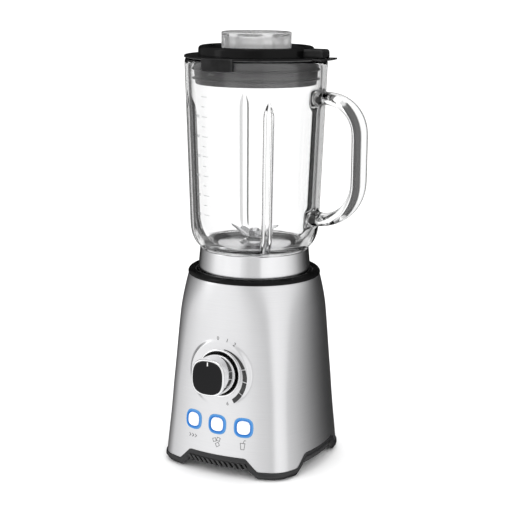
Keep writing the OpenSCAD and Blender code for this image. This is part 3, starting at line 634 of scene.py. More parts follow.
# %% Open a patch of the grid and grow its edge into a hole
def squircle(angle, half, power):
    """Radius at an angle of a rounded square; power 2 is a circle."""
    c, s = abs(math.cos(angle)), abs(math.sin(angle))
    return half / (c**power + s**power) ** (1 / power)


def open_patch(bm, x, z, across, up):
    """Deletes whole rows and columns of the grid round (x, z) on the front. Returns their edge."""
    radius = side_arc(z)[0]
    inside = []
    for face in bm.faces:
        spot = face.calc_center_median()
        if spot.y > -50 or abs(spot.z - z) > up:
            continue
        turn = math.asin(spot.x / side_arc(spot.z)[0]) - math.asin(x / radius)
        if abs(turn) * radius < across:
            inside.append(face)
    old = {e for e in bm.edges if e.is_boundary}
    bmesh.ops.delete(bm, geom=inside, context="FACES")
    return [e for e in bm.edges if e.is_boundary and e not in old]


def shrink(bm, edges, place, loops):
    """Grows the edge inwards. A loop is (share of the way, goal radius by angle, height)."""
    back = place.inverted()
    start = {}
    for edge in edges:
        for vert in edge.verts:
            spot = back @ vert.co
            start[math.atan2(spot.y, spot.x)] = spot.xy.length
    for share, goal, height_at in loops:
        def move(co):
            spot = back @ co
            angle = math.atan2(spot.y, spot.x)
            first = start[min(start, key=lambda a: abs(a - angle))]
            radius = first + (goal(angle) - first) * share
            u, v = radius * math.cos(angle), radius * math.sin(angle)
            return place @ Vector((u, v, height_at(u, v, radius)))
        edges = grow(bm, edges, move)


# %% The dial's flat pad stands out of the bulged front, with a soft fillet round it
PAD_FLAT, PAD_EDGE, DIAL_HOLE = 29.5, 33.6, 20.6


def pad_height(u, v, radius):
    rise = ease((PAD_EDGE - radius) / (PAD_EDGE - PAD_FLAT))
    return lift_at(DIAL, u, v) * (1 - rise)


pad_loops = [(share, lambda angle: PAD_EDGE + 0.6, pad_height) for share in (0.3, 0.6, 0.85)]
for radius in (34.2, 33.4, 32.8, 32.2, 31.6, 31.0, 30.4, 29.8, 29.0, 27.0, 24.0, 21.4, DIAL_HOLE):
    pad_loops.append((1.0, lambda angle, radius=radius: radius, pad_height))
edge = open_patch(housing, 0, DIAL_Z, 38.0, 35.6)
print("dial patch:", len(edge), "edges")
shrink(housing, edge, DIAL, pad_loops)

# %% Three rounded-square holes for the buttons
BUTTON_HALF, BUTTON_POWER, CAP_HALF = 9.4, 2.8, 6.5


def button_hole(angle):
    return squircle(angle, BUTTON_HALF + 0.15, BUTTON_POWER)


for place in BUTTONS:
    def over(u, v, radius, place=place):
        return lift_at(place, u, v)
    edge = open_patch(housing, place.translation.x, BUTTON_Z, 11.8, 11.2)
    shrink(housing, edge, place, [(share, button_hole, over) for share in (0.4, 0.75, 1.0)])
print("housing with its holes:", len(housing.faces), "faces")

# %% Give the sheet its thickness and roll its edges
tidy(housing)
steel = finish("steel_housing", housing, "base", "brushed_housing", ["base_shell"], limit=50,
               weighted=False)
sheet = steel.modifiers.new("Sheet", "SOLIDIFY")
sheet.thickness, sheet.offset = 1.2 * MM, -1.0
rolled = steel.modifiers.new("Rolled edges", "BEVEL")
rolled.width, rolled.segments, rolled.limit_method = 0.35 * MM, 2, "ANGLE"
rolled.angle_limit = math.radians(50)

# %% [markdown]
# ## The black foot
# A moulded ring closes the bottom of the housing. It peeps out one millimetre all round under the
# steel, turns in below that, and dips into a foot at each corner. It could be carved from a block
# with Booleans, but a loft follows the steel's own edge: at each column we work out a small closed
# outline, and the loops join the same point of every outline.

# %% Outline of the foot at one column
FRONT_SIDE, GRILLE_TOP = 3, 13.4


def foot_edge(column):
    """Height of the foot ring's lower edge. The front's arch is lower, because of its grille."""
    low = arch(column, 41.5, 32.8, 0.8, 9.0)
    if column[1] > SIDE_ANGLE:
        return low
    if column[0] == FRONT_SIDE:
        return low + (GRILLE_TOP - 9.0) * ease((33.0 - along(column)) / 2.0)
    return low + arch(column, 34.0, 28.0, 0.0, 5.5)


def foot_outline(column):
    top, low = steel_edge(column), foot_edge(column)
    waist = low + (top - low) * 0.52
    turn_in = 2.6 if low < 5 else 1.6
    return [(-1.4, top + 4), (-1.4, top - 0.05), (0.55, top - 0.05), (0.95, top - 0.3),
            (1.0, top - 0.9), (1.0, waist + 0.4), (0.85, waist), (-turn_in * 0.8, low + 0.5),
            (-turn_in, low), (-4.0, low), (-4.0, top + 4)]


outlines = [foot_outline(c) for c in COLUMNS]
foot_loops = []
for k in range(len(outlines[0])):
    foot_loops.append([base_point(c, o[k][1], o[k][0]) for c, o in zip(COLUMNS, outlines)])
foot_bm = loft(foot_loops + [foot_loops[0]], ends=(False, False))
tidy(foot_bm)
finish("foot_ring", foot_bm, "base", "black_trim", ["base_skirt"], limit=30, weighted=False)

# %% [markdown]
# Cooling air enters under the front edge, through a grille of slanted bars. Each bar is one
# bevelled block, sheared over, and a loop repeats it along the front.

# %% Grille bars
GRILLE_BARS, GRILLE_PITCH, GRILLE_Z = 12, 5.4, 11.6
grille = bmesh.new()
for i in range(GRILLE_BARS):
    x = (i - (GRILLE_BARS - 1) / 2) * GRILLE_PITCH
    bar = bmesh.ops.create_cube(grille, size=1.0)["verts"]
    bmesh.ops.scale(grille, vec=(3.1, 3.4, 6.0), verts=bar)
    bmesh.ops.translate(grille, vec=(x, front_y(x, 12) + 2.3, GRILLE_Z), verts=bar)
    for vert in bar:
        vert.co.x -= (vert.co.z - GRILLE_Z) * 0.62
        vert.co.y += (GRILLE_TOP - vert.co.z) * 0.25
soften(grille, 0.35)
finish("grille_bars", grille, "base", "black_trim")

# %% [markdown]
# ## Ring, collar and socket
# These are turned shapes, so each is a lathe. The top ring is glossier than the foot and hides the
# steel's upper edge; the collar is a band of turned steel over a black moulding.

# %% Top ring of the base
ring_low, ring_high = (corner.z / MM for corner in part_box("top_ring"))
top_ring = lathe([(57.7, ring_low), (60.0, ring_low), (62.0, 182.0), (62.0, 184.1), (64.0, 184.1),
                  (64.2, 186.0), (63.0, 187.9), (60.9, 189.2), (58.9, ring_high), (57.7, 188.8)])
soften(top_ring, 0.5, 3, 20)
finish("socket_rim", top_ring, "base", "black_trim", ["top_ring"], material="lid_black")

# %% Steel band of the jar's collar
BAND_FOOT_R, BAND_TOP_R, BAND_FOOT_Z, BAND_TOP_Z, NECK_R = 55.5, 52.5, 177.0, 209.4, 46.0
band = lathe([(BAND_FOOT_R - 1.2, BAND_FOOT_Z), (BAND_FOOT_R, BAND_FOOT_Z),
              (BAND_TOP_R + 0.1, BAND_TOP_Z - 0.8), (BAND_TOP_R - 0.7, BAND_TOP_Z),
              (NECK_R + 2.5, BAND_TOP_Z), (NECK_R + 2.5, BAND_TOP_Z - 1),
              (BAND_TOP_R - 1.2, BAND_TOP_Z - 1)], 160)
soften(band, 0.3, 2, 20)
finish("collar_sleeve", band, "cutter_unit", "collar_steel", ["collar_band"])

# %% Stainless plate that carries the blades, and its gasket
plate = lathe([(7, 185), (11, 185), (11, 204.5), (36.4, 204.5), (36.4, 187), (45.8, 187),
               (45.8, 189), (38.6, 189), (38.6, 206), (37.4, 207.2), (15, 207.2), (11.5, 210),
               (10.6, 213), (7, 213)])
soften(plate, 0.7, 3, 20)
finish("cutter_plate", plate, "cutter_unit", "cutter_steel", ["blade_housing"])
gasket = lathe([(40.2, 189), (45.8, 189), (45.8, 191), (40.2, 191)])
soften(gasket, 0.6, 3)
finish("neck_gasket", gasket, "cutter_unit", "gasket_clear", ["jar_gasket"])

# %% [markdown]
# ## The blades
# Four wings are stamped from sheet steel, ground to an edge along one side and bent up or down.
# Each pair is grown from one flat outline: the root is extruded to its thickness, the wing is
# folded at the root by its own angle, and the ground side is pinched to a cutting edge.

# %% One pair of blades
def blade_pair(name, node, z, turn, root, width, tips, thick=1.5):
    bm = bmesh.new()
    for side, (reach, rise) in enumerate(tips):
        wing = bmesh.new()
        outline = [(2, -width / 2), (root, -width / 2), (root + reach * 0.45, -width * 0.48),
                   (root + reach * 0.75, -width * 0.34), (root + reach, -width * 0.1),
                   (root + reach * 0.82, width * 0.26), (root + reach * 0.4, width * 0.42),
                   (root, width / 2), (2, width / 2)]
        edges = ring_of(wing, [(x, y, 0) for x, y in outline])
        flat = bmesh.ops.contextual_create(wing, geom=edges)["faces"]
        body = bmesh.ops.extrude_face_region(wing, geom=flat)["geom"]
        upper = [g for g in body if isinstance(g, bmesh.types.BMVert)]
        bmesh.ops.translate(wing, vec=(0, 0, thick), verts=upper)
        for x in (root - 0.6, root, root + 0.6, root + 1.2):
            slice_through(wing, (x, 0, 0), (1, 0, 0))
        for y in (-width * 0.22, width * 0.3):
            slice_through(wing, (0, y, 0), (0, 1, 0))
        for vert in wing.verts:
            x, y, h = vert.co
            if x > root + 1.3 and y < -width * 0.22 - 0.01 or x > root + reach * 0.9:
                vert.co.z = thick / 2 + (h - thick / 2) * 0.12
            bend = math.radians(rise) * ease((x - root + 0.8) / 2.2)
            arm = max(x - root, 0.0)
            lift = vert.co.z
            vert.co.x = min(x, root) + arm * math.cos(bend) - (lift - thick / 2) * math.sin(bend)
            vert.co.z = thick / 2 + arm * math.sin(bend) + (lift - thick / 2) * math.cos(bend)
        bmesh.ops.rotate(wing, cent=(0, 0, 0), matrix=Matrix.Rotation(math.pi * side, 3, "Z"),
                         verts=wing.verts)
        absorb(bm, wing)
    hub = [(4.05, 0), (width * 0.72, 0), (width * 0.72, thick), (4.05, thick)]
    absorb(bm, lathe(hub, 48))
    bmesh.ops.rotate(bm, cent=(0, 0, 0), matrix=Matrix.Rotation(math.radians(turn), 3, "Z"),
                     verts=bm.verts)
    bmesh.ops.translate(bm, vec=(0, 0, z), verts=bm.verts)
    soften(bm, 0.12, 1, 40)
    return finish(name, bm, "blades", "cutter_steel", [node], limit=30)


blade_pair("wings_upper", "upper_blades", 218.1, 62, 9, 12, [(20.5, 24), (23, 42)])
blade_pair("wings_lower", "lower_blades", 216.5, -28, 10, 11, [(15, 12), (15, 30)])

# %% [markdown]
# ## The glass jar
# The jar is pressed in one piece: a thick tapered wall with four ribs inside, an open neck below
# and a handle fused on at two places. We loft it as one closed skin, up the outside, over the rim
# and down the inside. Each rib is a swelling of the inner wall, and the columns crowd together
# there. The handle grows out of two patches of the outer wall, so the glass stays one solid and
# light passes from wall to handle as it does in the real one. Subdivision rounds it all off, as
# fire polishing does.

# %% Columns of the jar: close together at the ribs and where the handle joins
RIB_HALF, RIB_DEEP, RIB_AT_R = 4.0, 4.3, 56
rib_marks = [39, 129, 219, 309]
jar_angles = steps(-11.6, 11.6, 8)
for start, mark in zip([11.6, 45.6, 135.6, 225.6], rib_marks):
    low, high = mark - 6.6, mark + 6.6
    jar_angles += steps(start, low, max(2, round((low - start) / 4.2))) + steps(low, high, 14)
jar_angles += steps(315.6, 348.4, 8)
jar_angles = sorted(set(round(a, 3) for a in jar_angles))
print("columns round the jar:", len(jar_angles))

# %% Inside and outside of the glass wall
JAR_RIM = 390.5
OUTSIDE = [(46.0, 191.0), (46.0, 208.4), (47.3, 209.8), (51.6, 210.4), (55.4, 213.0), (58.2, 217.2),
           (60.4, 222.5), (61.6, 228.5), (62.0, 233.5), (67.0, 371.0), (67.6, 387.5)]
INSIDE = [(61.7, 386.0), (61.6, 371.0), (56.9, 240.0), (56.0, 231.0), (54.4, 225.0), (51.4, 219.0),
          (47.0, 215.0), (42.5, 212.6), (40.6, 211.2), (40.0, 209.4), (40.0, 191.0)]
ROOTS = [356.0, 242.0]
ROOT_HALF = 6.5


def walk(path, stops):
    """The points of a path, with extra points at the heights in stops."""
    found = [path[0]]
    for (r0, z0), (r1, z1) in zip(path, path[1:]):
        between = sorted((z for z in stops if min(z0, z1) + 0.8 < z < max(z0, z1) - 0.8),
                         reverse=z1 < z0)
        found += [(r0 + (r1 - r0) * (z - z0) / (z1 - z0), z) for z in between] + [(r1, z1)]
    return found


root_rows = [root + ROOT_HALF * half / 2 for root in ROOTS for half in range(-2, 3)]
wall_rows = root_rows + [252, 260, 270, 280, 292, 304, 316, 328, 338, 345, 366, 376, 382]
rib_rows = [228, 236, 244, 256, 270, 285, 300, 315, 328, 338, 344, 348, 351, 354, 357, 360, 378]
outer = walk(OUTSIDE, wall_rows)
inner = walk(INSIDE, rib_rows)
rim = [(67.2, 389.3), (66.2, 390.3), (64.8, JAR_RIM), (63.2, 390.2), (62.2, 389.0)]
print("levels of the jar:", len(outer) + len(rim) + len(inner))


def rib_depth(angle, z):
    """How far a rib stands in from the inner wall."""
    nearest = min(abs(angle - mark) for mark in rib_marks)
    across = math.radians(nearest) * RIB_AT_R
    top = ease((358 - z) / 16)
    share = min(1.0, across / (RIB_HALF * max(0.15, top)))
    return RIB_DEEP * math.sqrt(1 - share**2) * top * ease((z - 212) / 12)


def spout(angle, z):
    """The lip opposite the handle is pressed out a little, to pour from."""
    off = abs(angle - 180)
    return 1.3 * math.exp(-((off / 11) ** 2)) * ease((z - 366) / 22)


jar_loops = []
for k, (radius, z) in enumerate(outer + rim + inner):
    inside = k >= len(outer) + len(rim)
    loop = []
    for angle in jar_angles:
        r = radius + spout(angle % 360, z)
        if inside:
            r -= rib_depth(angle % 360, z)
        loop.append(turned(math.radians(angle), r, z))
    jar_loops.append(loop)
jar = loft(jar_loops + [jar_loops[0]], ends=(False, False))
tidy(jar)
print("jar wall:", len(jar.faces), "faces")

# %% Open the wall at the two roots of the handle
def root_patch(bm, z):
    inside = []
    for face in bm.faces:
        spot = face.calc_center_median()
        outwards = face.normal.x > 0.5
        if outwards and spot.x > 0 and abs(spot.y) < 13.4 and abs(spot.z - z) < ROOT_HALF:
            inside.append(face)
    bmesh.ops.delete(bm, geom=inside, context="FACES")
    return [e for e in bm.edges if e.is_boundary and abs(e.verts[0].co.z - z) < 2 * ROOT_HALF]


# %% Grow the handle from the upper root, along its path, to the lower one
GRIP_IN, GRIP_HALF, GRIP_X = 6.0, 13.0, 108.0
TOP_BEND, LOW_BEND = 32.0, 38.0
path = [(Vector((69.5, 0, ROOTS[0])), 0.0, 1.10), (Vector((72.5, 0, ROOTS[0])), 0.0, 1.0)]
centre = Vector((GRIP_X - TOP_BEND, 0, ROOTS[0] - TOP_BEND))
for angle in steps(0, 90, 9):
    a = math.radians(angle)
    path.append((centre + TOP_BEND * Vector((math.sin(a), 0, math.cos(a))), a, 1.0))
for z in steps(centre.z, ROOTS[1] + LOW_BEND, 5):
    path.append((Vector((GRIP_X, 0, z)), math.pi / 2, 1.0))
centre = Vector((GRIP_X - LOW_BEND, 0, ROOTS[1] + LOW_BEND))
for angle in steps(90, 180, 10) + [180]:
    a = math.radians(angle)
    path.append((centre + LOW_BEND * Vector((math.sin(a), 0, math.cos(a))), a, 1.0))
path.append((Vector((66.0, 0, ROOTS[1])), math.pi, 1.12))

upper = root_patch(jar, ROOTS[0])
lower = root_patch(jar, ROOTS[1])
print("handle roots:", len(upper), "and", len(lower), "edges")
grip_angle = {}
for vert in {v for e in upper for v in e.verts}:
    grip_angle[key(vert.co)] = math.atan2((vert.co.z - ROOTS[0]) / ROOT_HALF, vert.co.y / 13.2)
edges = upper
for middle, heading, swell in path:
    out = Vector((math.sin(heading), 0, math.cos(heading)))
    moved = {}

    def move(co):
        a = grip_angle[key(co)]
        place = middle + swell * (GRIP_IN * math.sin(a) * out
                                  + GRIP_HALF * math.cos(a) * Vector((0, 1, 0)))
        moved[key(place)] = a
        return place

    edges = grow(jar, edges, move)
    grip_angle = moved
bmesh.ops.bridge_loops(jar, edges=edges + lower)
tidy(jar)
open_edges = sum(1 for e in jar.edges if not e.is_manifold)
print("jar with its handle:", len(jar.faces), "faces,", open_edges, "open edges")
finish("jar_glass", jar, "jar", "jar_glass", ["glass_jar"], limit=180, levels=1)

# %% [markdown]
# Faint marks on the glass show how full the jar is. The real ones are moulded in; a long mark at
# every 200 ml and a short one between. They sit a hair proud of the wall, so each is a thin bent
# bar that follows the cone of the wall.

# %% Graduation marks and their numbers
MARK_ANGLE, MARK_FIRST, MARK_STEP, MARK_COUNT = 249.0, 247.0, 9.2, 13


def wall_radius(z):
    (r0, z0), (r1, z1) = OUTSIDE[8], OUTSIDE[9]
    return r0 + (r1 - r0) * (z - z0) / (z1 - z0)


def on_wall(u, v, w, angle, z):
    """Wraps a flat point (u across, v up, w out) onto the jar's wall."""
    radius = wall_radius(z + v) + w
    return turned(math.radians(angle) + u / radius, radius, z + v)


marks = bmesh.new()
for i in range(MARK_COUNT):
    length = 7.0 if i % 2 == 0 else 4.0
    bar = bmesh.ops.create_grid(marks, x_segments=8, y_segments=1, size=0.5)["verts"]
    for vert in bar:
        u, v = vert.co.x * length + length / 2, vert.co.y * 0.45
        vert.co = on_wall(u, v, 0.03, MARK_ANGLE, MARK_FIRST + MARK_STEP * i)
bmesh.ops.recalc_face_normals(marks, faces=marks.faces)
bmesh.ops.solidify(marks, geom=marks.faces[:], thickness=-0.12)
finish("volume_marks", marks, "jar", "jar_glass", material="marks")


def wrapped_text(name, text, height, place, body, slot, material, thick=0.06):
    """Numbers as thin solids: a text curve made into a mesh, then wrapped point by point."""
    curve = bpy.data.curves.new(name, "FONT")
    curve.body, curve.size, curve.extrude = text, height, thick / 2
    curve.align_x, curve.align_y, curve.resolution_u = "CENTER", "CENTER", 3
    holder = bpy.data.objects.new(name, curve)
    scene.collection.objects.link(holder)
    bpy.context.view_layer.update()
    bm = bmesh.new()
    bm.from_mesh(holder.to_mesh())
    holder.to_mesh_clear()
    bpy.data.objects.remove(holder)
    bmesh.ops.remove_doubles(bm, verts=bm.verts, dist=0.0005)
    for vert in bm.verts:
        vert.co = place(*vert.co)
    return finish(name, bm, body, slot, material=material, weighted=False)


for i, amount in enumerate((400, 600, 800, 1000, 1200, 1400)):
    level = MARK_FIRST + MARK_STEP * 2 * i

    def on_jar(u, v, w, level=level):
        return on_wall(u - 8.0, v, w + 0.07, MARK_ANGLE, level)

    wrapped_text(f"volume_{amount}", str(amount), 4.0, on_jar, "jar", "jar_glass", "marks")

# %% [markdown]
# ## The lid
# The lid is a glossy black moulding: a flange that closes the rim, a raised ring round a well, and
# a plug with a silicone seal that goes down into the jar. On the handle's side it has a grip block
# and a thumb tab, and two lugs hang over the rim. The turned part is a lathe; the rest are bevelled
# pieces that meet it inside its walls, as the ribs of one moulding do.

# %% Turned part of the lid
LID_Z = JAR_RIM + 0.3
lid = lathe([(32.6, 377), (35, 377), (35, LID_Z), (50, LID_Z), (50, 372), (53.4, 372),
             (53.4, LID_Z), (67.9, LID_Z), (68.2, LID_Z + 0.8), (67.7, LID_Z + 2.2),
             (54.9, LID_Z + 2.9), (54.7, 399.4), (53.7, 401.2), (52.0, 401.9), (48.8, 401.6),
             (46.8, 400.0), (46.0, 397.4), (32.6, 397.0)], 160)
soften(lid, 0.5, 3, 24)
finish("lid_moulding", lid, "lid", "lid_black", ["lid_cover"])


# %% Grip block and tab
def block(size, middle, width, count=3, taper=1.0):
    """A bevelled block. taper narrows its top, at both sides and at the outer end."""
    bm = bmesh.new()
    verts = bmesh.ops.create_cube(bm, size=1.0)["verts"]
    bmesh.ops.scale(bm, vec=size, verts=verts)
    for vert in verts:
        if vert.co.z > 0:
            vert.co.y *= taper
            vert.co.x *= 0.6 + 0.4 * taper if vert.co.x > 0 else 1.0
    bmesh.ops.translate(bm, vec=middle, verts=verts)
    return soften(bm, width, count)


def wedge(name, outline, middle, half, width):
    """A turned piece cut down to the angles round its middle, with closed and softened ends."""
    bm = lathe(outline, 180)
    for angle, sign in ((middle + half, 1), (middle - half, -1)):
        normal = Matrix.Rotation(math.radians(angle), 3, "Z") @ Vector((0, sign, 0))
        slice_through(bm, (0, 0, 0), normal, clear=True)
    bmesh.ops.holes_fill(bm, edges=[e for e in bm.edges if e.is_boundary])
    tidy(bm)
    return finish(name, soften(bm, width, 3), "lid", "lid_black")


finish("lid_grip", block((21, 20, 8.8), (62.0, 0, LID_Z + 5.6), 2.6, 5, 0.94), "lid", "lid_black")
wedge("lid_tab", [(58, LID_Z), (77.6, LID_Z), (77.6, LID_Z + 1.7), (58, LID_Z + 1.7)],
      0.0, 14.0, 0.6)

# %% Lugs that hang over the rim
lug_outline = [(65.6, LID_Z), (68.0, LID_Z), (68.0, LID_Z - 9.4), (70.7, LID_Z - 9.4),
               (70.7, LID_Z + 2.0), (65.6, LID_Z + 2.0)]
wedge("lid_lug_1", lug_outline, 86.0, 13.8, 0.7)
wedge("lid_lug_2", lug_outline, 266.0, 13.8, 0.7)

# %% Silicone seal, with two soft lips that press on the glass
seal = lathe([(53.5, 367.6), (56.2, 366.7), (57.2, 367.4), (57.7, 371), (59.6, 371.8),
              (60.8, 372.5), (59.6, 373.1), (58.0, 374), (58.5, 379.8), (60.0, 380.6),
              (60.9, 381.3), (60.0, 382.0), (58.8, 382.9), (59.3, LID_Z), (53.5, LID_Z)], 160)
soften(seal, 0.25, 2, 25)
finish("lid_silicone", seal, "lid", "seal_grey", ["lid_seal"])

# %% [markdown]
# ## Measuring cap
# The little clear cup in the lid is six-sided for grip: wide shallow flutes with narrow lands
# between. We spin its outline and then press each flute into the outer wall only, by moving its
# points in to the arc of a larger circle. The wall inside stays round.

# %% Measuring cap
CAP_R, CAP_TOP, FLUTE_R, FLUTE_X, FLUTE_TURN = 33.2, 415.0, 60.0, 89.3, -13.5
cap_levels = (398.0, 399.0, 400.0, 404.0, 408.0, 411.6, 412.6, 413.8)
cap = lathe([(29.6, 379), (30.5, 378.8), (31.4, 379.2), (32.1, 397.3), (33.0, 397.4),
             *[(CAP_R, z) for z in cap_levels], (CAP_R - 0.35, 414.65), (CAP_R - 1.2, CAP_TOP),
             (27.5, CAP_TOP), (26.0, 414.8), (22.0, 413.4), (12.0, 413.1), (0, 413.0), (0, 410.4),
             (12.0, 410.4), (24.0, 410.2), (26.2, 409.3), (26.8, 408.0), (26.8, 397.2),
             (27.6, 395.4), (29.6, 393.5)], 144)
for vert in cap.verts:
    x, y, z = vert.co
    radius = math.hypot(x, y)
    if radius > CAP_R - 0.1 and 398.9 < z < 412.7:
        angle = math.degrees(math.atan2(y, x)) - FLUTE_TURN
        off = math.radians((angle + 30) % 60 - 30)
        inside = FLUTE_R**2 - (FLUTE_X * math.sin(off)) ** 2
        fluted = FLUTE_X * math.cos(off) - math.sqrt(inside) if inside > 0 else CAP_R
        depth = (CAP_R - min(CAP_R, fluted)) * (1.0 if 399.9 < z < 411.7 else 0.55)
        vert.co.x, vert.co.y = x * (1 - depth / radius), y * (1 - depth / radius)
finish("cap_cup", cap, "filler_cap", "cap_clear", ["measuring_cap"], limit=50, levels=1)

# %% [markdown]
# ## Dial
# The knob is chromed: a circle at its foot that turns into a rounded square at its face. We loft it
# through squircles, a family of curves between circle and square, and sink a black insert in the
# face. Round it lie a black groove and a bright ring.

# %% Knob
KNOB_LEN, KNOB_FOOT_R = 22.5, 19.2


def squircle_loop(half, power, z, place, count=96):
    loop = []
    for i in range(count):
        angle = math.tau * i / count
        r = squircle(angle, half, power)
        loop.append(place @ Vector((r * math.cos(angle), r * math.sin(angle), z)))
    return loop


knob_levels = [(KNOB_FOOT_R - 0.5, 2.0, -1.5), (KNOB_FOOT_R, 2.0, -0.8), (KNOB_FOOT_R, 2.0, 1.0),
               (19.15, 2.03, 3.5), (18.95, 2.1, 7.0), (18.6, 2.2, 10.5), (18.2, 2.35, 14.0),
               (17.85, 2.55, 17.5), (17.6, 2.7, 19.6), (17.5, 2.75, 20.9), (17.35, 2.75, 21.7),
               (17.05, 2.75, 22.25), (16.6, 2.75, KNOB_LEN), (16.1, 2.75, 22.45),
               (15.7, 2.75, 22.2), (15.6, 2.75, 21.7), (15.6, 2.75, 21.3)]
knob = loft([squircle_loop(half, power, z, DIAL) for half, power, z in knob_levels])
finish("knob_body", knob, "knob", "dial_chrome", ["knob_shell"], limit=60, weighted=False)

insert_levels = [(15.5, 2.75, 21.35), (15.5, 2.75, 22.2), (15.3, 2.75, 22.45),
                 (14.8, 2.75, 22.55), (13.6, 2.75, 22.55), (12.9, 2.75, 22.5)]
insert = loft([squircle_loop(half, power, z, DIAL) for half, power, z in insert_levels])
finish("knob_insert", insert, "knob", "knob_black", ["knob_cap"], limit=60, weighted=False)

pointer = block((1.1, 3.6, 0.3), (0, 13.2, 22.6), 0.1, 2)
bmesh.ops.transform(pointer, matrix=DIAL, verts=pointer.verts)
finish("knob_mark", pointer, "knob", "pointer_white", ["knob_pointer"])


# %% Groove and bright ring round the knob
def dial_ring(name, outline, slot, nodes=()):
    ring = lathe(outline, 128)
    soften(ring, 0.15, 2, 25)
    bmesh.ops.transform(ring, matrix=DIAL, verts=ring.verts)
    return finish(name, ring, "base", slot, nodes)


dial_ring("dial_ring", [(21.3, -1.5), (22.9, -0.3), (23.1, 0.2), (22.8, 0.8), (22.2, 1.1),
                        (21.6, 1.0), (21.2, 0.5)], "dial_chrome", ["dial_bezel"])
dial_ring("dial_groove", [(5, -5), (20.3, -5), (21.2, -1.4), (21.25, 0.35), (20.8, 0.45),
                          (20.2, 0.1), (19.8, -1.5), (19.6, -3.4), (5, -3.4)], "dial_black",
          ["dial_well"])

# %% [markdown]
# ## Buttons
# Each button is a white squircle cap in a blue light ring. Ring and cap are lofts on the front's
# own frame. The ring gets a "rim" attribute that runs from its inner edge to its outer one.

# %% Light rings and caps
for place, side, deep in zip(BUTTONS, ("left", "middle", "right"), (-3.2, -5.0, -3.2)):
    inner, outer = CAP_HALF + 0.35, BUTTON_HALF
    levels = [(inner, -5.0), (inner, 0.3), (inner + 0.15, 0.6), (inner + 0.5, 0.85),
              (inner + 1.1, 0.9), (inner + 1.7, 0.8), (outer - 0.35, 0.5), (outer, 0.15),
              (outer, -5.0)]
    loops = [squircle_loop(half, BUTTON_POWER, z, place, 80) for half, z in levels]
    ring = loft(loops + [loops[0]], ends=(False, False))
    tidy(ring)
    piece = finish(f"light_ring_{side}", ring, "base", "blue_light",
                   ["light_rings"] if side == "left" else (), limit=60, weighted=False)
    rim_values = piece.data.attributes.new("rim", "FLOAT", "POINT")
    back = place.inverted()
    for vert, value in zip(piece.data.vertices, rim_values.data):
        spot = back @ (Vector(vert.co) / MM)
        radius = spot.xy.length
        edge = squircle(math.atan2(spot.y, spot.x), 1.0, BUTTON_POWER)
        value.value = ease((radius / edge - inner) / (outer - inner))
    cap_levels = [(CAP_HALF, deep), (CAP_HALF, -0.1), (CAP_HALF - 0.12, 0.35),
                  (CAP_HALF - 0.5, 0.68), (CAP_HALF - 1.2, 0.84), (CAP_HALF - 3.0, 0.92),
                  (1.0, 0.95)]
    loops = [squircle_loop(half, BUTTON_POWER, z, place, 80) for half, z in cap_levels]
    finish(f"cap_{side}", loft(loops), f"{side}_button", "button_white", [f"button_{side}"],
           limit=60, weighted=False)

# %% [markdown]
# ## Printing on the front
# The housing carries small grey printing: plain numbers round the dial, and a simple picture under
# each button. Each is a film-thin solid that follows the steel. A number is a text curve made into
# a mesh; the pictures are made of thin bars.

# %% Numbers round the dial
def on_dial_surface(u, v, w):
    """Wraps a point of the dial's frame onto the pad or the bulged front round it."""
    return DIAL @ Vector((u, v, pad_height(u, v, math.hypot(u, v)) + w + 0.03))


# a number, its place on the clock in degrees, and its distance from the dial's centre
for text, clock, radius in (("0", -4, 33.4), ("1", 13, 33.2), ("2", 27, 33.0), ("6", 160, 29.8)):
    a = math.radians(clock)

    def around(u, v, w, a=a, radius=radius):
        x = (radius + v) * math.sin(a) + u * math.cos(a)
        y = (radius + v) * math.cos(a) - u * math.sin(a)
        return on_dial_surface(x, y, w)

    upright = (lambda u, v, w, a=a, radius=radius:
               on_dial_surface(radius * math.sin(a) + u, radius * math.cos(a) + v, w))
    wrapped_text(f"dial_number_{text}", text, 5.0, upright if clock > 90 else around, "base",
                 "dial_black", "ink_grey")


# %% Pictures under the buttons
LINE = 0.45


def printed(name, shapes, middle):
    """Thin bars (x, y, length, turn, width), wrapped onto the front round a middle point."""
    bm = bmesh.new()
    for x, y, length, turn, width in shapes:
        bar = bmesh.ops.create_grid(bm, x_segments=6, y_segments=1, size=0.5)["verts"]
        bmesh.ops.scale(bm, vec=(length, width, 1), verts=bar)
        bmesh.ops.rotate(bm, cent=(0, 0, 0), matrix=Matrix.Rotation(math.radians(turn), 3, "Z"),
                         verts=bar)
        bmesh.ops.translate(bm, vec=(x, y, 0), verts=bar)
    for vert in bm.verts:
        x, z = middle[0] + vert.co.x, middle[1] + vert.co.y
        vert.co = (x, front_y(x, z) - 0.03, z)
    bmesh.ops.recalc_face_normals(bm, faces=bm.faces)
    if sum(face.normal.y for face in bm.faces) > 0:
        bmesh.ops.reverse_faces(bm, faces=bm.faces)
    bmesh.ops.solidify(bm, geom=bm.faces[:], thickness=-0.06)
    return finish(name, bm, "base", "dial_black", material="ink_grey", weighted=False)


def square_outline(x, y, size, turn, width=LINE):
    """Four bars round a square, turned about its middle."""
    bars = []
    for quarter in range(4):
        side = turned(math.radians(turn + 90 * quarter), size / 2)
        bars.append((x + side.x, y + side.y, size + width, turn + 90 * quarter + 90, width))
    return bars


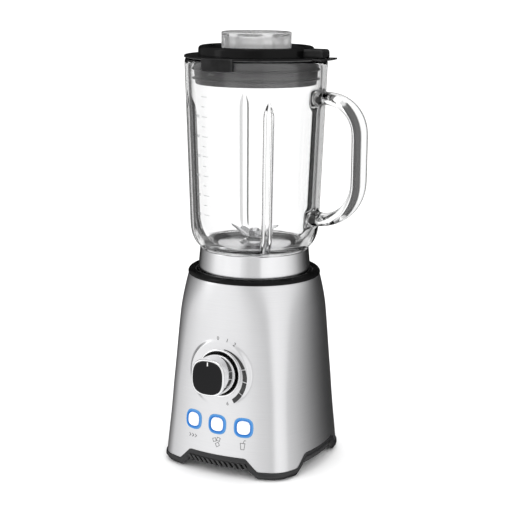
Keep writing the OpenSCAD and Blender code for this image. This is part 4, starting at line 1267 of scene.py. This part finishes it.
chevrons = []
for x in (-3.4, 0.0, 3.4):
    chevrons += [(x, 0.75, 2.6, -40, 0.55), (x, -0.75, 2.6, 40, 0.55)]
printed("picture_fast", chevrons, (-BUTTON_PITCH, 33.8))
printed("picture_ice", square_outline(-2.6, 1.6, 3.2, 20) + square_outline(1.6, 2.6, 3.2, -15)
        + square_outline(0.8, -2.6, 3.4, 30), (0.6, 32.6))
cup = [(-1.9, -1.0, 6.0, 96, LINE), (1.9, -1.0, 6.0, 84, LINE), (0, -4.0, 3.2, 0, LINE),
       (0, 2.0, 5.2, 0, LINE), (0.9, 3.4, 3.0, 70, LINE), (2.2, 4.8, 2.0, 0, LINE)]
printed("picture_cup", cup, (BUTTON_PITCH, 32.6))

# %% [markdown]
# ## Studio
# The object stands on a plain white floor in a white room. Glass shows its shape only if there is
# something dark beside it, and steel only if the room is not the same all round. So the room has
# three faces: plain white for the camera and for matt surfaces, one set of grey cards for mirrored
# rays and another for rays bent by glass. Photographers do the same with cards out of the frame.

# %% Walls of the room, by compass direction
world = bpy.data.worlds.new("Studio")
scene.world = world
world.use_nodes = True
world.cycles.sampling_method = "NONE"
tree = world.node_tree
tree.nodes.clear()
end = tree.nodes.new("ShaderNodeOutputWorld")
look = add(tree, "ShaderNodeTexCoord").outputs["Generated"]
parts = add(tree, "ShaderNodeSeparateXYZ", {"Vector": look}).outputs
# 0 is where the front faces, and a quarter of a turn is where the handle points
compass = math_node(tree, "ARCTAN2", parts["X"], math_node(tree, "MULTIPLY", parts["Y"], -1.0))
turn_share = math_node(tree, "FRACT", math_node(tree, "DIVIDE", compass, math.tau))


def walls(stops):
    """Brightness of the room's walls: stops are (compass direction in degrees, brightness)."""
    node = add(tree, "ShaderNodeValToRGB", {"Fac": turn_share})
    ramp = node.color_ramp
    while len(ramp.elements) < len(stops):
        ramp.elements.new(0.5)
    for element, (angle, level) in zip(ramp.elements, stops):
        element.position = angle / 360
        element.color = (level, level, level, 1)
    return node.outputs["Color"]


mirrored = walls([(0, 0.80), (9, 0.72), (14, 0.62), (38, 0.62), (43, 0.93), (60, 0.98), (92, 0.88),
                  (110, 0.68), (122, 0.48), (134, 0.26), (150, 0.09), (168, 0.02), (235, 0.02),
                  (250, 0.16), (270, 0.34), (282, 0.50), (298, 0.80), (330, 0.98), (345, 0.93)])
seen_through = walls([(0, 0.9), (60, 0.9), (98, 0.9), (106, 0.05), (166, 0.05), (174, 0.55),
                      (186, 0.55), (196, 0.92), (230, 0.92), (238, 0.08), (258, 0.08), (264, 0.55),
                      (276, 0.55), (284, 0.05), (328, 0.05), (336, 0.9)])

# %% Ceiling, and which ray sees what
# Straight up the room is bright for mirrored rays, so the rims and the knob catch a light edge
high = spread(tree, parts["Z"], 0.0, 1.0, 0.55, 0.85)
mirrored = add(tree, "ShaderNodeMix", {0: high, 6: mirrored, 7: (0.6, 0.6, 0.6, 1)},
               data_type="RGBA").outputs[2]
path = add(tree, "ShaderNodeLightPath").outputs
room = add(tree, "ShaderNodeMix", {0: path["Is Transmission Ray"], 6: mirrored, 7: seen_through},
           data_type="RGBA").outputs[2]
shades = add(tree, "ShaderNodeBackground", {"Color": room, "Strength": 1.26}).outputs[0]
white = add(tree, "ShaderNodeBackground", {"Color": (1, 1, 1, 1), "Strength": 1.3}).outputs[0]
bent = math_node(tree, "MAXIMUM", path["Is Glossy Ray"], path["Is Transmission Ray"])
both = add(tree, "ShaderNodeMixShader", {0: bent, 1: white, 2: shades}).outputs[0]
tree.links.new(both, end.inputs["Surface"])

# %% [markdown]
# The floor only has to catch the soft shadow. It is clear for mirrored and bent rays, so the steel
# and the glass see the room's cards below the horizon too, not a sheet of white.

# %% Floor
floor_bm = bmesh.new()
bmesh.ops.create_grid(floor_bm, x_segments=1, y_segments=1, size=6.0)
floor_mesh = bpy.data.meshes.new("floor")
floor_bm.to_mesh(floor_mesh)
floor_bm.free()
floor = bpy.data.objects.new("floor", floor_mesh)
floor.location.z = -0.0002
scene.collection.objects.link(floor)
tree, shader, place = begin("floor_white")
skin = effect(tree, grain_tree, {"Vector": place, "Size": 60.0})
colour = blend_colours(tree, skin["Tone"], (0.90, 0.90, 0.90), (0.94, 0.94, 0.94))
fill(shader, Base_Color=colour, Roughness=spread(tree, skin["Tone"], 0.85, 0.95),
     Specular_IOR_Level=0.0)
path = add(tree, "ShaderNodeLightPath").outputs
bent = math_node(tree, "MAXIMUM", path["Is Glossy Ray"], path["Is Transmission Ray"])
clear_floor = tree.nodes.new("ShaderNodeBsdfTransparent").outputs[0]
both = add(tree, "ShaderNodeMixShader", {0: bent, 1: shader.outputs[0], 2: clear_floor}).outputs[0]
tree.links.new(both, tree.nodes["Material Output"].inputs["Surface"])
floor_mesh.materials.append(FINISH["floor_white"])


# %% Soft boxes
def soft_box(name, place, aim, size, power):
    light = bpy.data.lights.new(name, "AREA")
    light.shape, light.size, light.size_y, light.energy = "RECTANGLE", *size, power
    lamp = bpy.data.objects.new(name, light)
    lamp.location = place
    lamp.rotation_euler = (Vector(aim) - Vector(place)).to_track_quat("-Z", "Y").to_euler()
    scene.collection.objects.link(lamp)
    return lamp


soft_box("overhead", (0.1, -0.1, 1.6), (0, 0, 0.1), (1.2, 1.2), 5)
soft_box("front_left", (-1.3, -1.0, 0.9), (0, 0, 0.2), (0.5, 1.4), 2.5)
scene.view_settings.view_transform = "Standard"

# %% [markdown]
# ## Camera
# The camera looks a little down on the front's right-hand corner, from well back with a long lens,
# as a catalogue picture is taken.

# %% Camera
AZIMUTH, STAND_OFF, EYE_HEIGHT, PITCH, ROLL = 27.69, 1.29, 0.4753, 12.08, 0.55
camera_data = bpy.data.cameras.new("camera")
camera_data.lens, camera_data.sensor_width = 95.4, 36.0
camera = bpy.data.objects.new("camera", camera_data)
a = math.radians(AZIMUTH)
camera.matrix_world = (
    Matrix.Translation((STAND_OFF * math.sin(a), -STAND_OFF * math.cos(a), EYE_HEIGHT))
    @ Matrix.Rotation(math.radians(AZIMUTH - 0.07), 4, "Z")
    @ Matrix.Rotation(math.radians(90 - PITCH), 4, "X")
    @ Matrix.Rotation(math.radians(ROLL), 4, "Z"))
scene.collection.objects.link(camera)
scene.camera = camera
